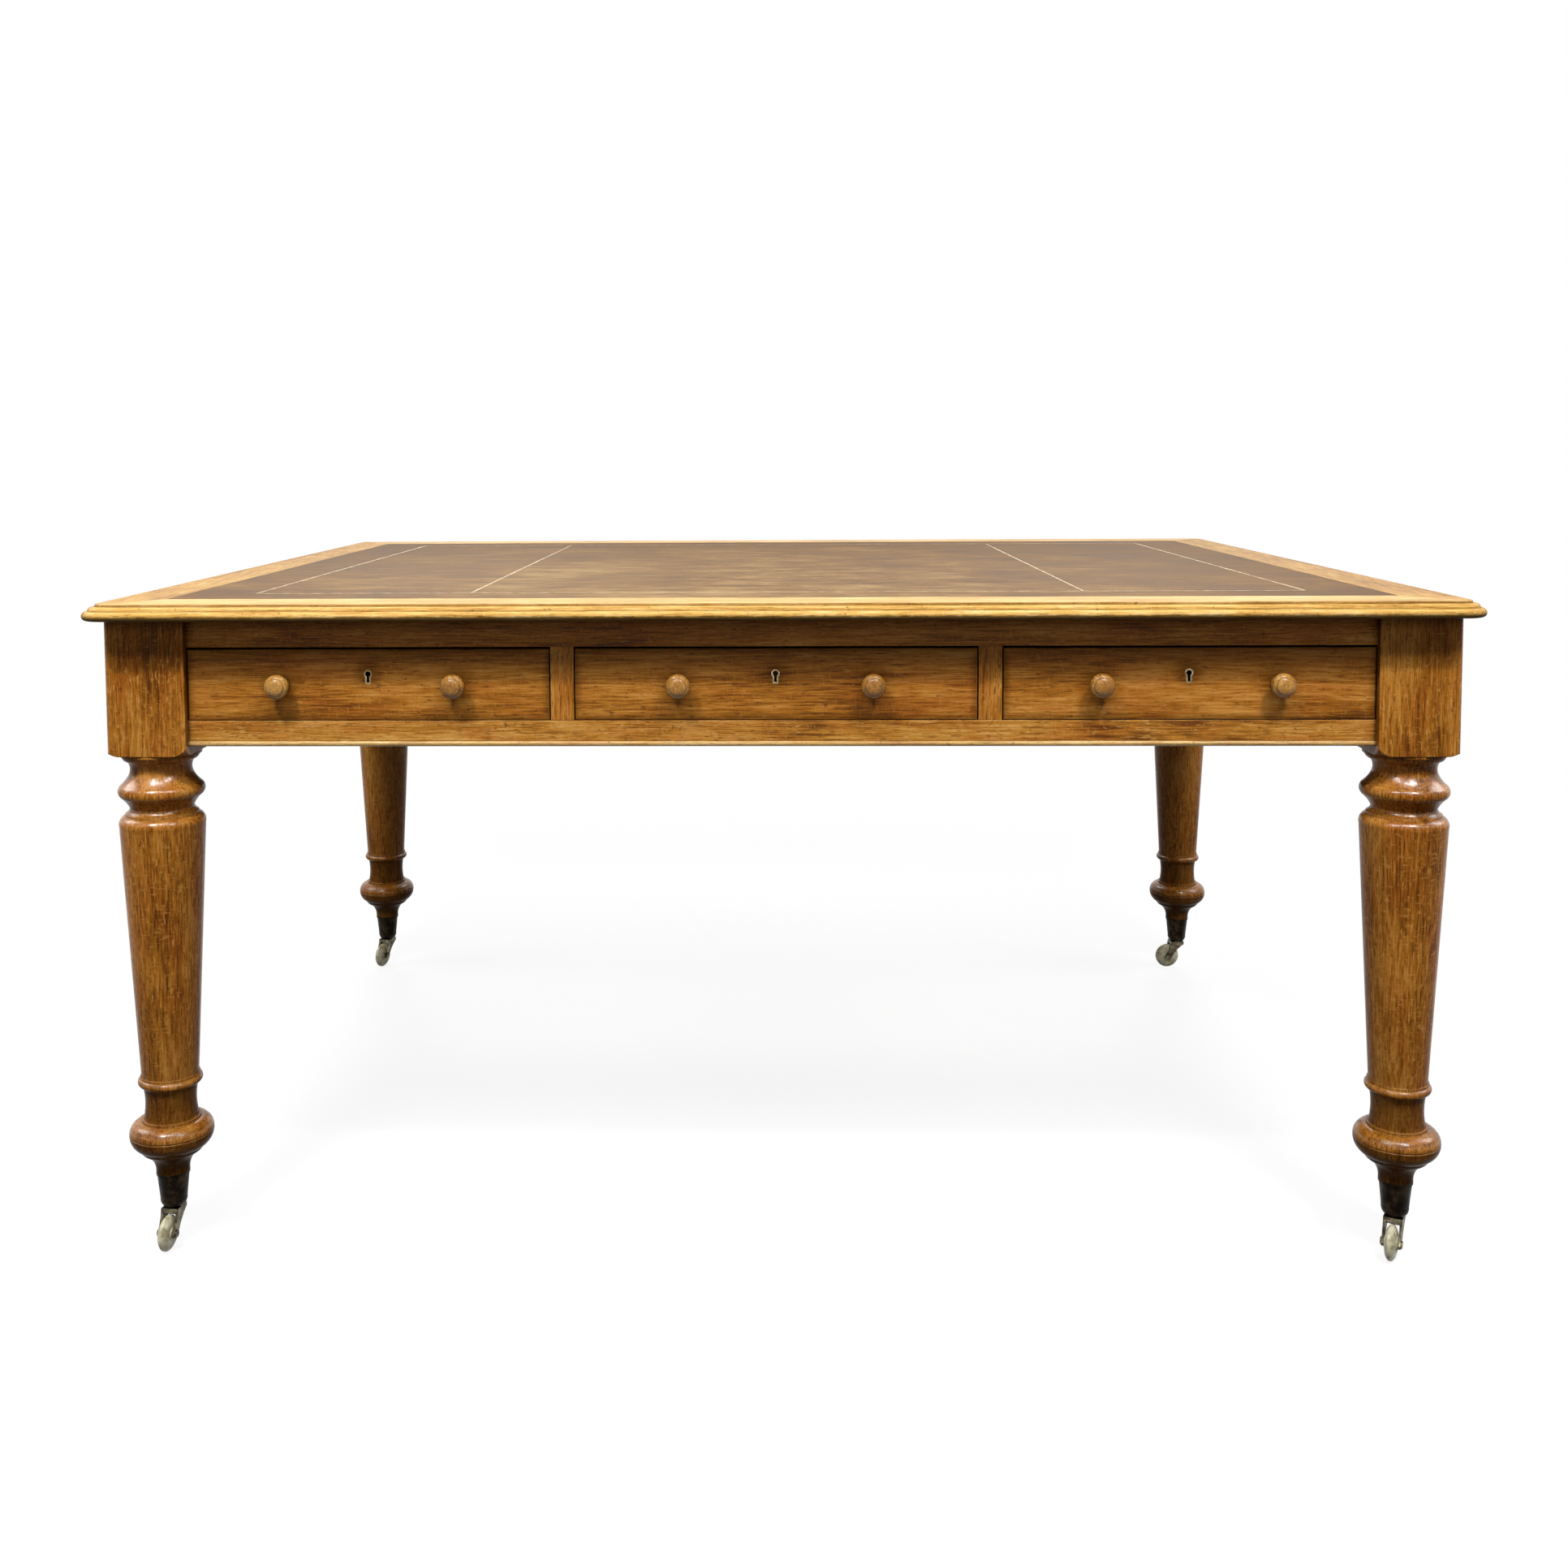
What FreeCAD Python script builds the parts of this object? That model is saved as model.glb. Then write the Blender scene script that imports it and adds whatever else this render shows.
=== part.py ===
import FreeCAD, Part
import math
import os

import Sketcher
from FreeCAD import Placement, Rotation, Vector

# Partners desk: an oak writing table with a leather top, drawers on both long sides and castors.
# Millimetres, +Z up, front at -Y, origin on the floor under the middle of the top.

DIMENSIONS = (
    # Whole desk
    ("top_length", 1534),
    ("top_width", 1219),
    ("desk_height", 758),
    # Top: moulded edge, border boards, ground panel and leather
    ("top_thickness", 18),
    ("end_overhang", 15),
    ("side_overhang", 40),
    ("top_corner_radius", 30),
    ("least_corner_radius", 2),
    ("nose_height", 10.2),
    ("nose_radius", 5),
    ("ovolo_inset", 6.5),
    ("ovolo_height", 4.8),
    ("ovolo_radius", 4.3),
    ("step_inset", 8),
    ("end_border_width", 74),
    ("side_border_width", 80),
    ("leather_thickness", 1.5),
    # Leg block
    ("block_width", 92),
    ("block_height", 156),
    ("block_arris", 11),
    ("shoulder_radius", 56),
    ("shoulder_rise", 14),
    ("shoulder_swell", 2),
    ("turning_lap", 4),
    # Upper turning, from the block down
    ("collar_radius", 45.5),
    ("collar_fillet_height", 3.5),
    ("collar_bead_radius", 43),
    ("collar_height", 10),
    ("collar_swell", 1.4),
    ("scotia_radius", 37.5),
    ("scotia_height", 15.5),
    ("scotia_hollow", 2.2),
    ("torus_seat_radius", 35.2),
    ("torus_height", 39),
    ("torus_radius", 44),
    ("torus_flank_height", 12),
    ("torus_flank_hollow", 0.8),
    ("torus_swell", 4),
    ("neck_height", 6.5),
    ("neck_hollow", 1),
    ("cap_radius", 40.5),
    ("cap_fillet", 2),
    ("cap_height", 12.5),
    ("cap_swell", 2.8),
    ("taper_top_radius", 47.5),
    ("taper_bottom_radius", 32),
    # Lower turning, from the castor up
    ("foot_radius", 19),
    ("foot_height", 22),
    ("foot_hollow", 3),
    ("small_ring_inner", 28.5),
    ("small_ring_outer", 36.8),
    ("small_ring_height", 8.5),
    ("small_ring_swell", 1.6),
    ("bulb_radius", 47.2),
    ("bulb_lower_radius", 38.6),
    ("bulb_upper_radius", 33),
    ("bulb_lower_height", 18),
    ("bulb_upper_height", 14),
    ("bulb_lower_swell", 2.4),
    ("bulb_upper_swell", 4),
    ("bulb_groove", 1.4),
    ("ankle_radius", 30.8),
    ("ankle_height", 39.5),
    ("ankle_hollow", 2.2),
    ("ring_radius", 32.4),
    ("ring_height", 9.5),
    ("ring_swell", 3.8),
    ("fillet_step", 1.2),
    ("fillet_height", 2.6),
    # Apron
    ("apron_height", 145.2),
    ("apron_recess", 9),
    ("end_apron_thickness", 22),
    ("top_rail_height", 33.5),
    ("lower_rail_height", 23),
    ("bead_height", 6),
    ("bead_projection", 2.4),
    ("bead_depth", 14),
    ("centre_opening", 449),
    ("divider_width", 26),
    ("centre_rail_thickness", 24),
    ("tenon_length", 25),
    ("tenon_thickness", 12),
    ("tenon_shoulder", 14),
    # Drawer carriage inside the frame
    ("runner_height", 16),
    ("runner_ledge", 20),
    ("guide_height", 14),
    ("guide_setback", 1),
    ("kicker_height", 20),
    ("kicker_ledge", 16),
    ("stop_length", 40),
    ("stop_width", 12),
    ("stop_height", 4),
    ("stop_clearance", 0.3),
    ("runner_clearance", 0.3),
    # Drawers
    ("drawer_gap_side", 1.5),
    ("drawer_gap_top", 2.5),
    ("drawer_gap_bottom", 0.7),
    ("drawer_back_gap", 48.5),
    ("front_thickness", 20),
    ("side_thickness", 9),
    ("side_lap", 12),
    ("side_top_gap", 3.5),
    ("back_thickness", 9),
    ("back_drop", 8),
    ("bottom_thickness", 6),
    ("bottom_rise", 8),
    ("groove_depth", 4),
    # Knobs
    ("knob_spread", 0.483),
    ("knob_radius", 13.6),
    ("knob_length", 27),
    ("knob_neck_radius", 7.5),
    ("knob_neck_length", 10),
    ("knob_base_radius", 9.6),
    ("knob_base_thickness", 2.6),
    ("knob_rim", 8.5),
    ("knob_button_radius", 9.4),
    ("knob_button_rise", 1.9),
    ("knob_face_swell", 1.1),
    ("knob_neck_swell", 0.9),
    ("knob_spigot_radius", 5.5),
    # Locks
    ("lock_width", 56),
    ("lock_height", 40),
    ("lock_thickness", 9),
    ("bolt_width", 18),
    ("bolt_thickness", 5),
    ("bolt_height", 22),
    ("bolt_clearance", 0.15),
    ("bolt_throw", 7),
    ("bolt_mortise_room", 1),
    ("keyhole_above_middle", 12),
    ("keyhole_radius", 3),
    ("keyhole_slot_width", 3),
    ("keyhole_drop", 9.5),
    ("liner_margin", 1.6),
    ("liner_depth", 4),
    # Screws that hold the top down
    ("screw_radius", 2.5),
    ("screw_head_radius", 5),
    ("screw_head_height", 3),
    ("screw_bite", 14),
    ("screw_inset", 85),
    ("screw_spacing", 320),
    # Castors
    ("wheel_radius", 20),
    ("wheel_width", 14.5),
    ("wheel_tread", 3),
    ("wheel_shoulder", 4.5),
    ("wheel_rim_width", 10),
    ("wheel_flank_swell", 0.55),
    ("wheel_hub_radius", 7.5),
    ("wheel_dish", 1.2),
    ("wheel_shoulder_swell", 0.4),
    ("wheel_clearance", 0.4),
    ("axle_radius", 2.5),
    ("axle_clearance", 0.06),
    ("rivet_head_radius", 4.2),
    ("rivet_head_height", 1.4),
    ("castor_trail", 17),
    ("cheek_thickness", 2.8),
    ("cheek_eye_radius", 6),
    ("cheek_eye_drop", 5.7),
    ("crown_length", 20),
    ("crown_thickness", 4.5),
    ("crown_room", 2),
    ("swivel_clearance", 0.3),
    ("pin_radius", 4),
    ("pin_clearance", 0.08),
    ("pin_length", 28),
    ("pin_bore_room", 0.6),
    ("cup_height", 42),
    ("cup_floor", 6),
    ("cup_wall", 1.8),
    ("cup_fit", 0.1),
    ("cup_lip_height", 3),
    ("cup_lip_step", 0.9),
    ("cup_waist_radius", 15.2),
    ("cup_waist_height", 11),
    ("cup_base_radius", 10.8),
    ("cup_swell", 1.6),
    # Rest angle of each castor, in degrees from +X to the way its wheel trails
    ("turn_front_left", 263),
    ("turn_front_right", 240),
    ("turn_back_left", 250),
    ("turn_back_right", 185),
)

LAYOUT = (
    # Levels, from the floor
    ("underside", "dims.desk_height - dims.top_thickness"),
    ("nose_top", "underside + dims.nose_height"),
    ("ovolo_top", "nose_top + dims.ovolo_height"),
    ("panel_top", "dims.desk_height - dims.leather_thickness"),
    ("block_bottom", "underside - dims.block_height"),
    ("apron_bottom", "underside - dims.apron_height"),
    ("rail_bottom", "apron_bottom + dims.bead_height"),
    ("opening_bottom", "rail_bottom + dims.lower_rail_height"),
    ("opening_top", "underside - dims.top_rail_height"),
    ("opening_height", "opening_top - opening_bottom"),
    # Plan of the frame, half sizes from the middle
    ("block_half", "dims.block_width / 2"),
    ("leg_x", "dims.top_length / 2 - dims.end_overhang - block_half"),
    ("leg_y", "dims.top_width / 2 - dims.side_overhang - block_half"),
    ("inner_x", "leg_x - block_half"),
    ("inner_y", "leg_y - block_half"),
    ("apron_x", "leg_x + block_half - dims.apron_recess"),
    ("apron_y", "leg_y + block_half - dims.apron_recess"),
    ("apron_inner_x", "apron_x - dims.end_apron_thickness"),
    ("rail_depth", "apron_y - inner_y"),
    ("rail_y", "apron_y - rail_depth / 2"),
    ("divider_x", "(dims.centre_opening + dims.divider_width) / 2"),
    ("side_opening", "inner_x - divider_x - dims.divider_width / 2"),
    ("side_opening_x", "inner_x - side_opening / 2"),
    ("carriage_start", "dims.centre_rail_thickness / 2"),
    ("carriage_length", "inner_y - carriage_start"),
    ("carriage_y", "inner_y - carriage_length / 2"),
    ("end_width", "apron_inner_x - inner_x"),
    ("end_guide_x", "inner_x + end_width / 2"),
    # Levels of the upper turning
    ("collar_fillet", "block_bottom - dims.collar_fillet_height"),
    ("collar_bottom", "block_bottom - dims.collar_height"),
    ("torus_top", "collar_bottom - dims.scotia_height"),
    ("torus_bottom", "torus_top - dims.torus_height"),
    ("cap_seat", "torus_bottom - dims.neck_height"),
    ("cap_top", "cap_seat - dims.cap_fillet"),
    ("taper_top", "cap_top - dims.cap_height"),
    # Levels of the castor and of the lower turning
    ("crown_bottom", "2 * dims.wheel_radius + dims.crown_room"),
    ("crown_top", "crown_bottom + dims.crown_thickness"),
    ("cup_bottom", "crown_top + dims.swivel_clearance"),
    ("cup_top", "cup_bottom + dims.cup_height"),
    ("spigot_bottom", "cup_bottom + dims.cup_floor"),
    ("pin_top", "crown_top + dims.pin_length"),
    ("foot_top", "cup_top + dims.foot_height"),
    ("small_ring_top", "foot_top + dims.small_ring_height"),
    ("bulb_middle", "small_ring_top + dims.bulb_lower_height"),
    ("bulb_top", "bulb_middle + dims.bulb_upper_height"),
    ("ankle_bottom", "bulb_top + dims.fillet_height"),
    ("ring_bottom", "ankle_bottom + dims.ankle_height"),
    ("ring_top", "ring_bottom + dims.ring_height"),
    ("taper_bottom", "ring_top + dims.fillet_height"),
    # Castor cup
    ("spigot_top_radius", "dims.foot_radius - dims.cup_wall"),
    ("spigot_bottom_radius", "dims.cup_waist_radius - dims.cup_wall"),
    ("cup_inner_top", "spigot_top_radius + dims.cup_fit"),
    ("cup_inner_bottom", "spigot_bottom_radius + dims.cup_fit"),
    ("cup_waist", "cup_bottom + dims.cup_waist_height"),
    ("pin_hole", "dims.pin_radius + dims.pin_clearance"),
    ("pin_bore", "dims.pin_radius + dims.pin_bore_room"),
    ("fork_slot", "dims.wheel_width + 2 * dims.wheel_clearance"),
    ("fork_width", "fork_slot + 2 * dims.cheek_thickness"),
    # Drawer levels
    ("side_bottom", "opening_bottom + dims.runner_clearance"),
    ("side_height", "opening_height - dims.runner_clearance - dims.side_top_gap"),
    ("front_bottom", "opening_bottom + dims.drawer_gap_bottom"),
    ("front_height", "opening_height - dims.drawer_gap_bottom - dims.drawer_gap_top"),
    ("front_top", "front_bottom + front_height"),
    ("front_middle", "front_bottom + front_height / 2"),
    ("bottom_level", "side_bottom + dims.bottom_rise"),
    ("back_bottom", "bottom_level + dims.bottom_thickness"),
    ("back_height", "side_height - dims.bottom_rise - dims.bottom_thickness - dims.back_drop"),
    ("side_start", "dims.front_thickness - dims.side_lap"),
    ("drawer_depth", "apron_y - carriage_start - dims.drawer_back_gap"),
    ("lock_y", "dims.front_thickness - dims.lock_thickness / 2"),
    ("lock_bottom", "front_top - dims.lock_height"),
    ("bolt_bottom", "front_top - dims.bolt_height"),
    ("bolt_slot_bottom", "bolt_bottom - dims.bolt_clearance"),
    ("keyhole_level", "front_middle + dims.keyhole_above_middle"),
)

# Width of the opening of each drawer, from left to right
OPENINGS = ("layout.side_opening", "dims.centre_opening", "layout.side_opening")

doc = FreeCAD.newDocument("partners_desk")
dims = doc.addObject("Spreadsheet::Sheet", "dims")
layout = doc.addObject("Spreadsheet::Sheet", "layout")
probe = doc.addObject("Spreadsheet::Sheet", "probe")
nodes = []


def fill(sheet, rows, lead):
    """Write named values to a sheet, one row each."""
    for row, (alias, value) in enumerate(rows, start=1):
        sheet.set("A%d" % row, alias)
        sheet.set("B%d" % row, lead + str(value))
        sheet.setAlias("B%d" % row, alias)


def number(formula):
    """Work out a formula of sheet names as a plain number."""
    probe.set("A1", "=" + formula)
    probe.recompute()
    return float(probe.get("A1"))


def node(label, piece, solids=1):
    """Name a finished sub-part and note how many solids it holds."""
    piece.Label = label
    nodes.append((piece, solids))
    return piece


def place(piece, x="0", y="0", z="0", turn=0):
    """Stand a piece at a place bound to the sheets, turned about Z by a number of degrees."""
    piece.Placement = Placement(Vector(), Rotation(Vector(0, 0, 1), turn))
    for axis, formula in (("x", x), ("y", y), ("z", z)):
        piece.setExpression("Placement.Base." + axis, formula)
    return piece


def box(name, size, middle, bottom):
    """Box given by its three sizes, the middle of its plan and the level of its underside."""
    piece = doc.addObject("Part::Box", name)
    for side, formula in zip(("Length", "Width", "Height"), size):
        piece.setExpression(side, formula)
    corner = ["(%s) - (%s) / 2" % pair for pair in zip(middle, size)]
    return place(piece, corner[0], corner[1], bottom)


def cylinder(name, radius, height, base, axis=Vector(0, 0, 1)):
    """Cylinder that rises from its base along an axis."""
    piece = doc.addObject("Part::Cylinder", name)
    piece.setExpression("Radius", radius)
    piece.setExpression("Height", height)
    place(piece, *base)
    piece.Placement.Rotation = Rotation(Vector(0, 0, 1), axis)
    return piece


def fuse(name, pieces):
    """One solid from several that overlap."""
    piece = doc.addObject("Part::MultiFuse", name)
    piece.Shapes = pieces
    piece.Refine = True
    return piece


def cut(name, base, tools):
    """A piece with one or more others taken out of it."""
    piece = doc.addObject("Part::Cut", name)
    piece.Base = base
    piece.Tool = tools[0] if len(tools) == 1 else fuse(name + "_tools", tools)
    return piece


def common(name, base, tool):
    """What two pieces share."""
    piece = doc.addObject("Part::Common", name)
    piece.Base = base
    piece.Tool = tool
    return piece


def group(name, pieces):
    """Several separate solids that belong to one sub-part."""
    piece = doc.addObject("Part::Compound", name)
    piece.Links = pieces
    return piece


def arc_between(start, end, rise):
    """Arc from start to end that swells by rise to the left of the way from one to the other."""
    chord = end - start
    across = Vector(-chord.y, chord.x, 0).normalize()
    radius = chord.Length ** 2 / (8 * abs(rise)) + abs(rise) / 2
    centre = (start + end) * 0.5 + across * (rise - math.copysign(radius, rise))
    first, last = (end, start) if rise > 0 else (start, end)
    first_angle = math.atan2(first.y - centre.y, first.x - centre.x)
    last_angle = math.atan2(last.y - centre.y, last.x - centre.x)
    if last_angle < first_angle:
        last_angle += 2 * math.pi
    return Part.ArcOfCircle(Part.Circle(centre, Vector(0, 0, 1), radius), first_angle, last_angle)


def outline(body, plane, points, level="0"):
    """Closed sketch through points (x, y); a third value is the swell of an arc to the next point."""
    sketch = body.newObject("Sketcher::SketchObject", body.Name + "_outline")
    origin = [part for part in body.Origin.OriginFeatures if part.Role == plane][0]
    sketch.AttachmentSupport = (origin, [""])
    sketch.MapMode = "FlatFace"
    sketch.setExpression("AttachmentOffset.Base.z", level)
    places = [Vector(number(point[0]), number(point[1]), 0) for point in points]
    ends = []
    rules = []
    bound = []
    for index, point in enumerate(points):
        after = (index + 1) % len(points)
        if len(point) == 2:
            sketch.addGeometry(Part.LineSegment(places[index], places[after]), False)
            ends.append((1, 2))
            continue
        rise = number(point[2])
        arc = arc_between(places[index], places[after], rise)
        sketch.addGeometry(arc, False)
        ends.append((2, 1) if rise > 0 else (1, 2))
        chord = "((%s) - (%s))^2 + ((%s) - (%s))^2" % (points[after][0], point[0], points[after][1], point[1])
        radius = "(%s) / (8 * abs(%s)) + abs(%s) / 2" % (chord, point[2], point[2])
        bound.append((len(rules), radius))
        rules.append(Sketcher.Constraint("Radius", index, arc.Radius))
    for index, point in enumerate(points):
        after = (index + 1) % len(points)
        rules.append(Sketcher.Constraint("Coincident", index, ends[index][1], after, ends[after][0]))
        start = ends[index][0]
        for axis, across, formula in (("X", -2, point[0]), ("Y", -1, point[1])):
            if formula == "0":
                rules.append(Sketcher.Constraint("PointOnObject", index, start, across))
                continue
            bound.append((len(rules), formula))
            size = places[index].x if axis == "X" else places[index].y
            rules.append(Sketcher.Constraint("Distance" + axis, -1, 1, index, start, size))
    sketch.addConstraint(rules)
    for index, formula in bound:
        sketch.setExpression("Constraints[%d]" % index, formula)
    return sketch


def new_body(name):
    """Empty body for a piece that is built up from sketches."""
    return doc.addObject("PartDesign::Body", name)


def pad(body, sketch, length, symmetric=False):
    """Straight extrusion of a sketch."""
    feature = body.newObject("PartDesign::Pad", body.Name + "_pad")
    feature.Profile = sketch
    feature.setExpression("Length", length)
    if symmetric:
        feature.SideType = "Symmetric"
    return feature


def turn(body, sketch, kind="Revolution"):
    """Turned form of a sketch about its upright axis, added or, as a Groove, taken away."""
    feature = body.newObject("PartDesign::" + kind, body.Name + "_" + kind.lower())
    feature.Profile = sketch
    feature.ReferenceAxis = (sketch, ["V_Axis"])
    feature.Angle = 360
    return feature


def round_edges(body, feature, levels, radius):
    """Fillet all edges of a feature that lie flat at the given levels."""
    doc.recompute()
    names = []
    for index, edge in enumerate(feature.Shape.Edges, start=1):
        heights = [vertex.Z for vertex in edge.Vertexes]
        if any(max(abs(height - number(level)) for height in heights) < 1e-4 for level in levels):
            names.append("Edge%d" % index)
    fillet = body.newObject("PartDesign::Fillet", body.Name + "_fillet")
    fillet.Base = (feature, names)
    fillet.setExpression("Radius", radius)
    return fillet


def rounded_rectangle(inset):
    """Outline of the top, drawn in by an inset, with rounded corners."""
    half_x = "(dims.top_length / 2 - (%s))" % inset
    half_y = "(dims.top_width / 2 - (%s))" % inset
    corner = "max(dims.top_corner_radius - (%s); dims.least_corner_radius)" % inset
    swell = "-(1 - sqrt(0.5)) * (%s)" % corner
    points = []
    for sign_x, sign_y, along_x in ((1, -1, True), (1, 1, False), (-1, 1, True), (-1, -1, False)):
        near_x = "%d * (%s - %s)" % (sign_x, half_x, corner)
        near_y = "%d * (%s - %s)" % (sign_y, half_y, corner)
        edge_x = "%d * %s" % (sign_x, half_x)
        edge_y = "%d * %s" % (sign_y, half_y)
        on_long_edge = (near_x, edge_y)
        on_end_edge = (edge_x, near_y)
        first, second = (on_long_edge, on_end_edge) if along_x else (on_end_edge, on_long_edge)
        points.append(first + (swell,))
        points.append(second)
    return points


def moulded_slab():
    """Blank of the whole top with its edge: half-round nose, ovolo and a small square step."""
    body = new_body("slab")
    nose_plan = outline(body, "XY_Plane", rounded_rectangle("0"), "layout.underside")
    nose = pad(body, nose_plan, "dims.nose_height")
    round_edges(body, nose, ("layout.underside", "layout.nose_top"), "dims.nose_radius")
    ovolo_plan = outline(body, "XY_Plane", rounded_rectangle("dims.ovolo_inset"), "layout.nose_top")
    ovolo = pad(body, ovolo_plan, "dims.ovolo_height")
    round_edges(body, ovolo, ("layout.ovolo_top",), "dims.ovolo_radius")
    step_inset = "dims.ovolo_inset + dims.step_inset"
    step_plan = outline(body, "XY_Plane", rounded_rectangle(step_inset), "layout.ovolo_top")
    pad(body, step_plan, "dims.desk_height - layout.ovolo_top")
    return body


def screw_places():
    """Plan positions of the screws through the top rails."""
    places = []
    for side in (-1, 1):
        for step in (-1.5, -0.5, 0.5, 1.5):
            x = "%g * dims.screw_spacing" % step
            y = "%d * (dims.top_width / 2 - dims.screw_inset)" % side
            places.append((x, y))
    return places


def screw(name, x, y):
    """Countersunk screw, head flush with the underside of a top rail."""
    shank_length = "dims.top_rail_height + dims.screw_bite"
    shank = cylinder(name + "_shank", "dims.screw_radius", shank_length, (x, y, "layout.opening_top"))
    head = doc.addObject("Part::Cone", name + "_head")
    head.setExpression("Radius1", "dims.screw_head_radius")
    head.setExpression("Radius2", "dims.screw_radius")
    head.setExpression("Height", "dims.screw_head_height")
    place(head, x, y, "layout.opening_top")
    return fuse(name, [shank, head])


def build_top():
    """Mitred border boards, ground panel, leather and the screws that hold the top."""
    half_x = "dims.top_length / 2"
    half_y = "dims.top_width / 2"
    open_x = "(dims.top_length / 2 - dims.end_border_width)"
    open_y = "(dims.top_width / 2 - dims.side_border_width)"
    panel_size = ("2 * " + open_x, "2 * " + open_y)
    opening = box("border_opening", panel_size + ("dims.top_thickness",), ("0", "0"), "layout.underside")
    frame = cut("border_frame", moulded_slab(), [opening])
    boards = {"long": [], "end": []}
    for sign in (-1, 1):
        outer_y = "%d * %s" % (sign, half_y)
        inner_y = "%d * %s" % (sign, open_y)
        long_plan = (("-" + half_x, outer_y), (half_x, outer_y), (open_x, inner_y), ("-" + open_x, inner_y))
        outer_x = "%d * %s" % (sign, half_x)
        inner_x = "%d * %s" % (sign, open_x)
        end_plan = ((outer_x, "-" + half_y), (outer_x, half_y), (inner_x, open_y), (inner_x, "-" + open_y))
        for kind, plan in (("long", long_plan), ("end", end_plan)):
            wedge = new_body("%s_wedge" % kind)
            pad(wedge, outline(wedge, "XY_Plane", plan, "layout.underside"), "dims.top_thickness")
            boards[kind].append(common("%s_board" % kind, frame, wedge))
    node("top_border_long_boards", group("long_boards", boards["long"]), 2)
    node("top_border_end_boards", group("end_boards", boards["end"]), 2)
    panel_thickness = "dims.top_thickness - dims.leather_thickness"
    blank = box("panel_blank", panel_size + (panel_thickness,), ("0", "0"), "layout.underside")
    holes = [screw("screw_hole%d" % index, x, y) for index, (x, y) in enumerate(screw_places())]
    node("top_panel", cut("panel", blank, [group("screw_holes", holes)]))
    leather_size = panel_size + ("dims.leather_thickness",)
    node("writing_leather", box("leather", leather_size, ("0", "0"), "layout.panel_top"))
    screws = [screw("screw%d" % index, x, y) for index, (x, y) in enumerate(screw_places())]
    node("top_screws", group("screws", screws), len(screws))


def leg_profile():
    """Half outline of the turned leg, down the outside from inside the block and back up the axis."""
    return (
        ("0", "layout.block_bottom + dims.turning_lap"),
        ("dims.collar_radius", "layout.block_bottom + dims.turning_lap"),
        ("dims.collar_radius", "layout.collar_fillet"),
        ("dims.collar_bead_radius", "layout.collar_fillet", "dims.collar_swell"),
        ("dims.scotia_radius + dims.fillet_step", "layout.collar_bottom"),
        ("dims.scotia_radius", "layout.collar_bottom", "-dims.scotia_hollow"),
        ("dims.torus_seat_radius", "layout.torus_top", "-dims.torus_flank_hollow"),
        ("dims.torus_radius", "layout.torus_top - dims.torus_flank_height", "dims.torus_swell"),
        ("dims.torus_radius", "layout.torus_bottom + dims.torus_flank_height", "-dims.torus_flank_hollow"),
        ("dims.torus_seat_radius", "layout.torus_bottom", "-dims.neck_hollow"),
        ("dims.cap_radius", "layout.cap_seat"),
        ("dims.cap_radius", "layout.cap_top", "dims.cap_swell"),
        ("dims.taper_top_radius", "layout.taper_top"),
        ("dims.taper_bottom_radius", "layout.taper_bottom"),
        ("dims.taper_bottom_radius + dims.fillet_step", "layout.taper_bottom"),
        ("dims.taper_bottom_radius + dims.fillet_step", "layout.ring_top"),
        ("dims.ring_radius", "layout.ring_top", "dims.ring_swell"),
        ("dims.ring_radius", "layout.ring_bottom"),
        ("dims.ankle_radius", "layout.ring_bottom", "-dims.ankle_hollow"),
        ("dims.ankle_radius", "layout.ankle_bottom"),
        ("dims.bulb_upper_radius", "layout.ankle_bottom"),
        ("dims.bulb_upper_radius", "layout.bulb_top", "dims.bulb_upper_swell"),
        ("dims.bulb_radius", "layout.bulb_middle"),
        ("dims.bulb_radius - dims.bulb_groove", "layout.bulb_middle - dims.bulb_groove / 2"),
        ("dims.bulb_radius", "layout.bulb_middle - dims.bulb_groove", "dims.bulb_lower_swell"),
        ("dims.bulb_lower_radius", "layout.small_ring_top"),
        ("dims.small_ring_outer", "layout.small_ring_top", "dims.small_ring_swell"),
        ("dims.small_ring_inner", "layout.foot_top", "-dims.foot_hollow"),
        ("dims.foot_radius", "layout.cup_top"),
        ("layout.spigot_top_radius", "layout.cup_top"),
        ("layout.spigot_bottom_radius", "layout.spigot_bottom"),
        ("layout.pin_bore", "layout.spigot_bottom"),
        ("layout.pin_bore", "layout.pin_top + dims.pin_bore_room"),
        ("0", "layout.pin_top + dims.pin_bore_room"),
    )


def tenon(kind, name, x, y, sign_x, sign_y):
    """Tenon of a rail or an apron, or the mortise for it, in the leg on one corner."""
    corner = ("%d * (%s)" % (sign_x, x), "%d * (%s)" % (sign_y, y))
    if kind == "top_rail":
        size = ("dims.tenon_length", "layout.rail_depth - 2 * dims.tenon_shoulder", "dims.tenon_thickness")
        bottom = "layout.opening_top + (dims.top_rail_height - dims.tenon_thickness) / 2"
        return box(name, size, corner, bottom)
    if kind == "lower_rail":
        size = ("dims.tenon_length", "layout.rail_depth - 2 * dims.tenon_shoulder", "dims.tenon_thickness")
        bottom = "layout.rail_bottom + (dims.lower_rail_height - dims.tenon_thickness) / 2"
        return box(name, size, corner, bottom)
    height = "layout.underside - layout.rail_bottom - 2 * dims.tenon_shoulder"
    size = ("dims.tenon_thickness", "dims.tenon_length", height)
    return box(name, size, corner, "layout.rail_bottom + dims.tenon_shoulder")


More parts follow.
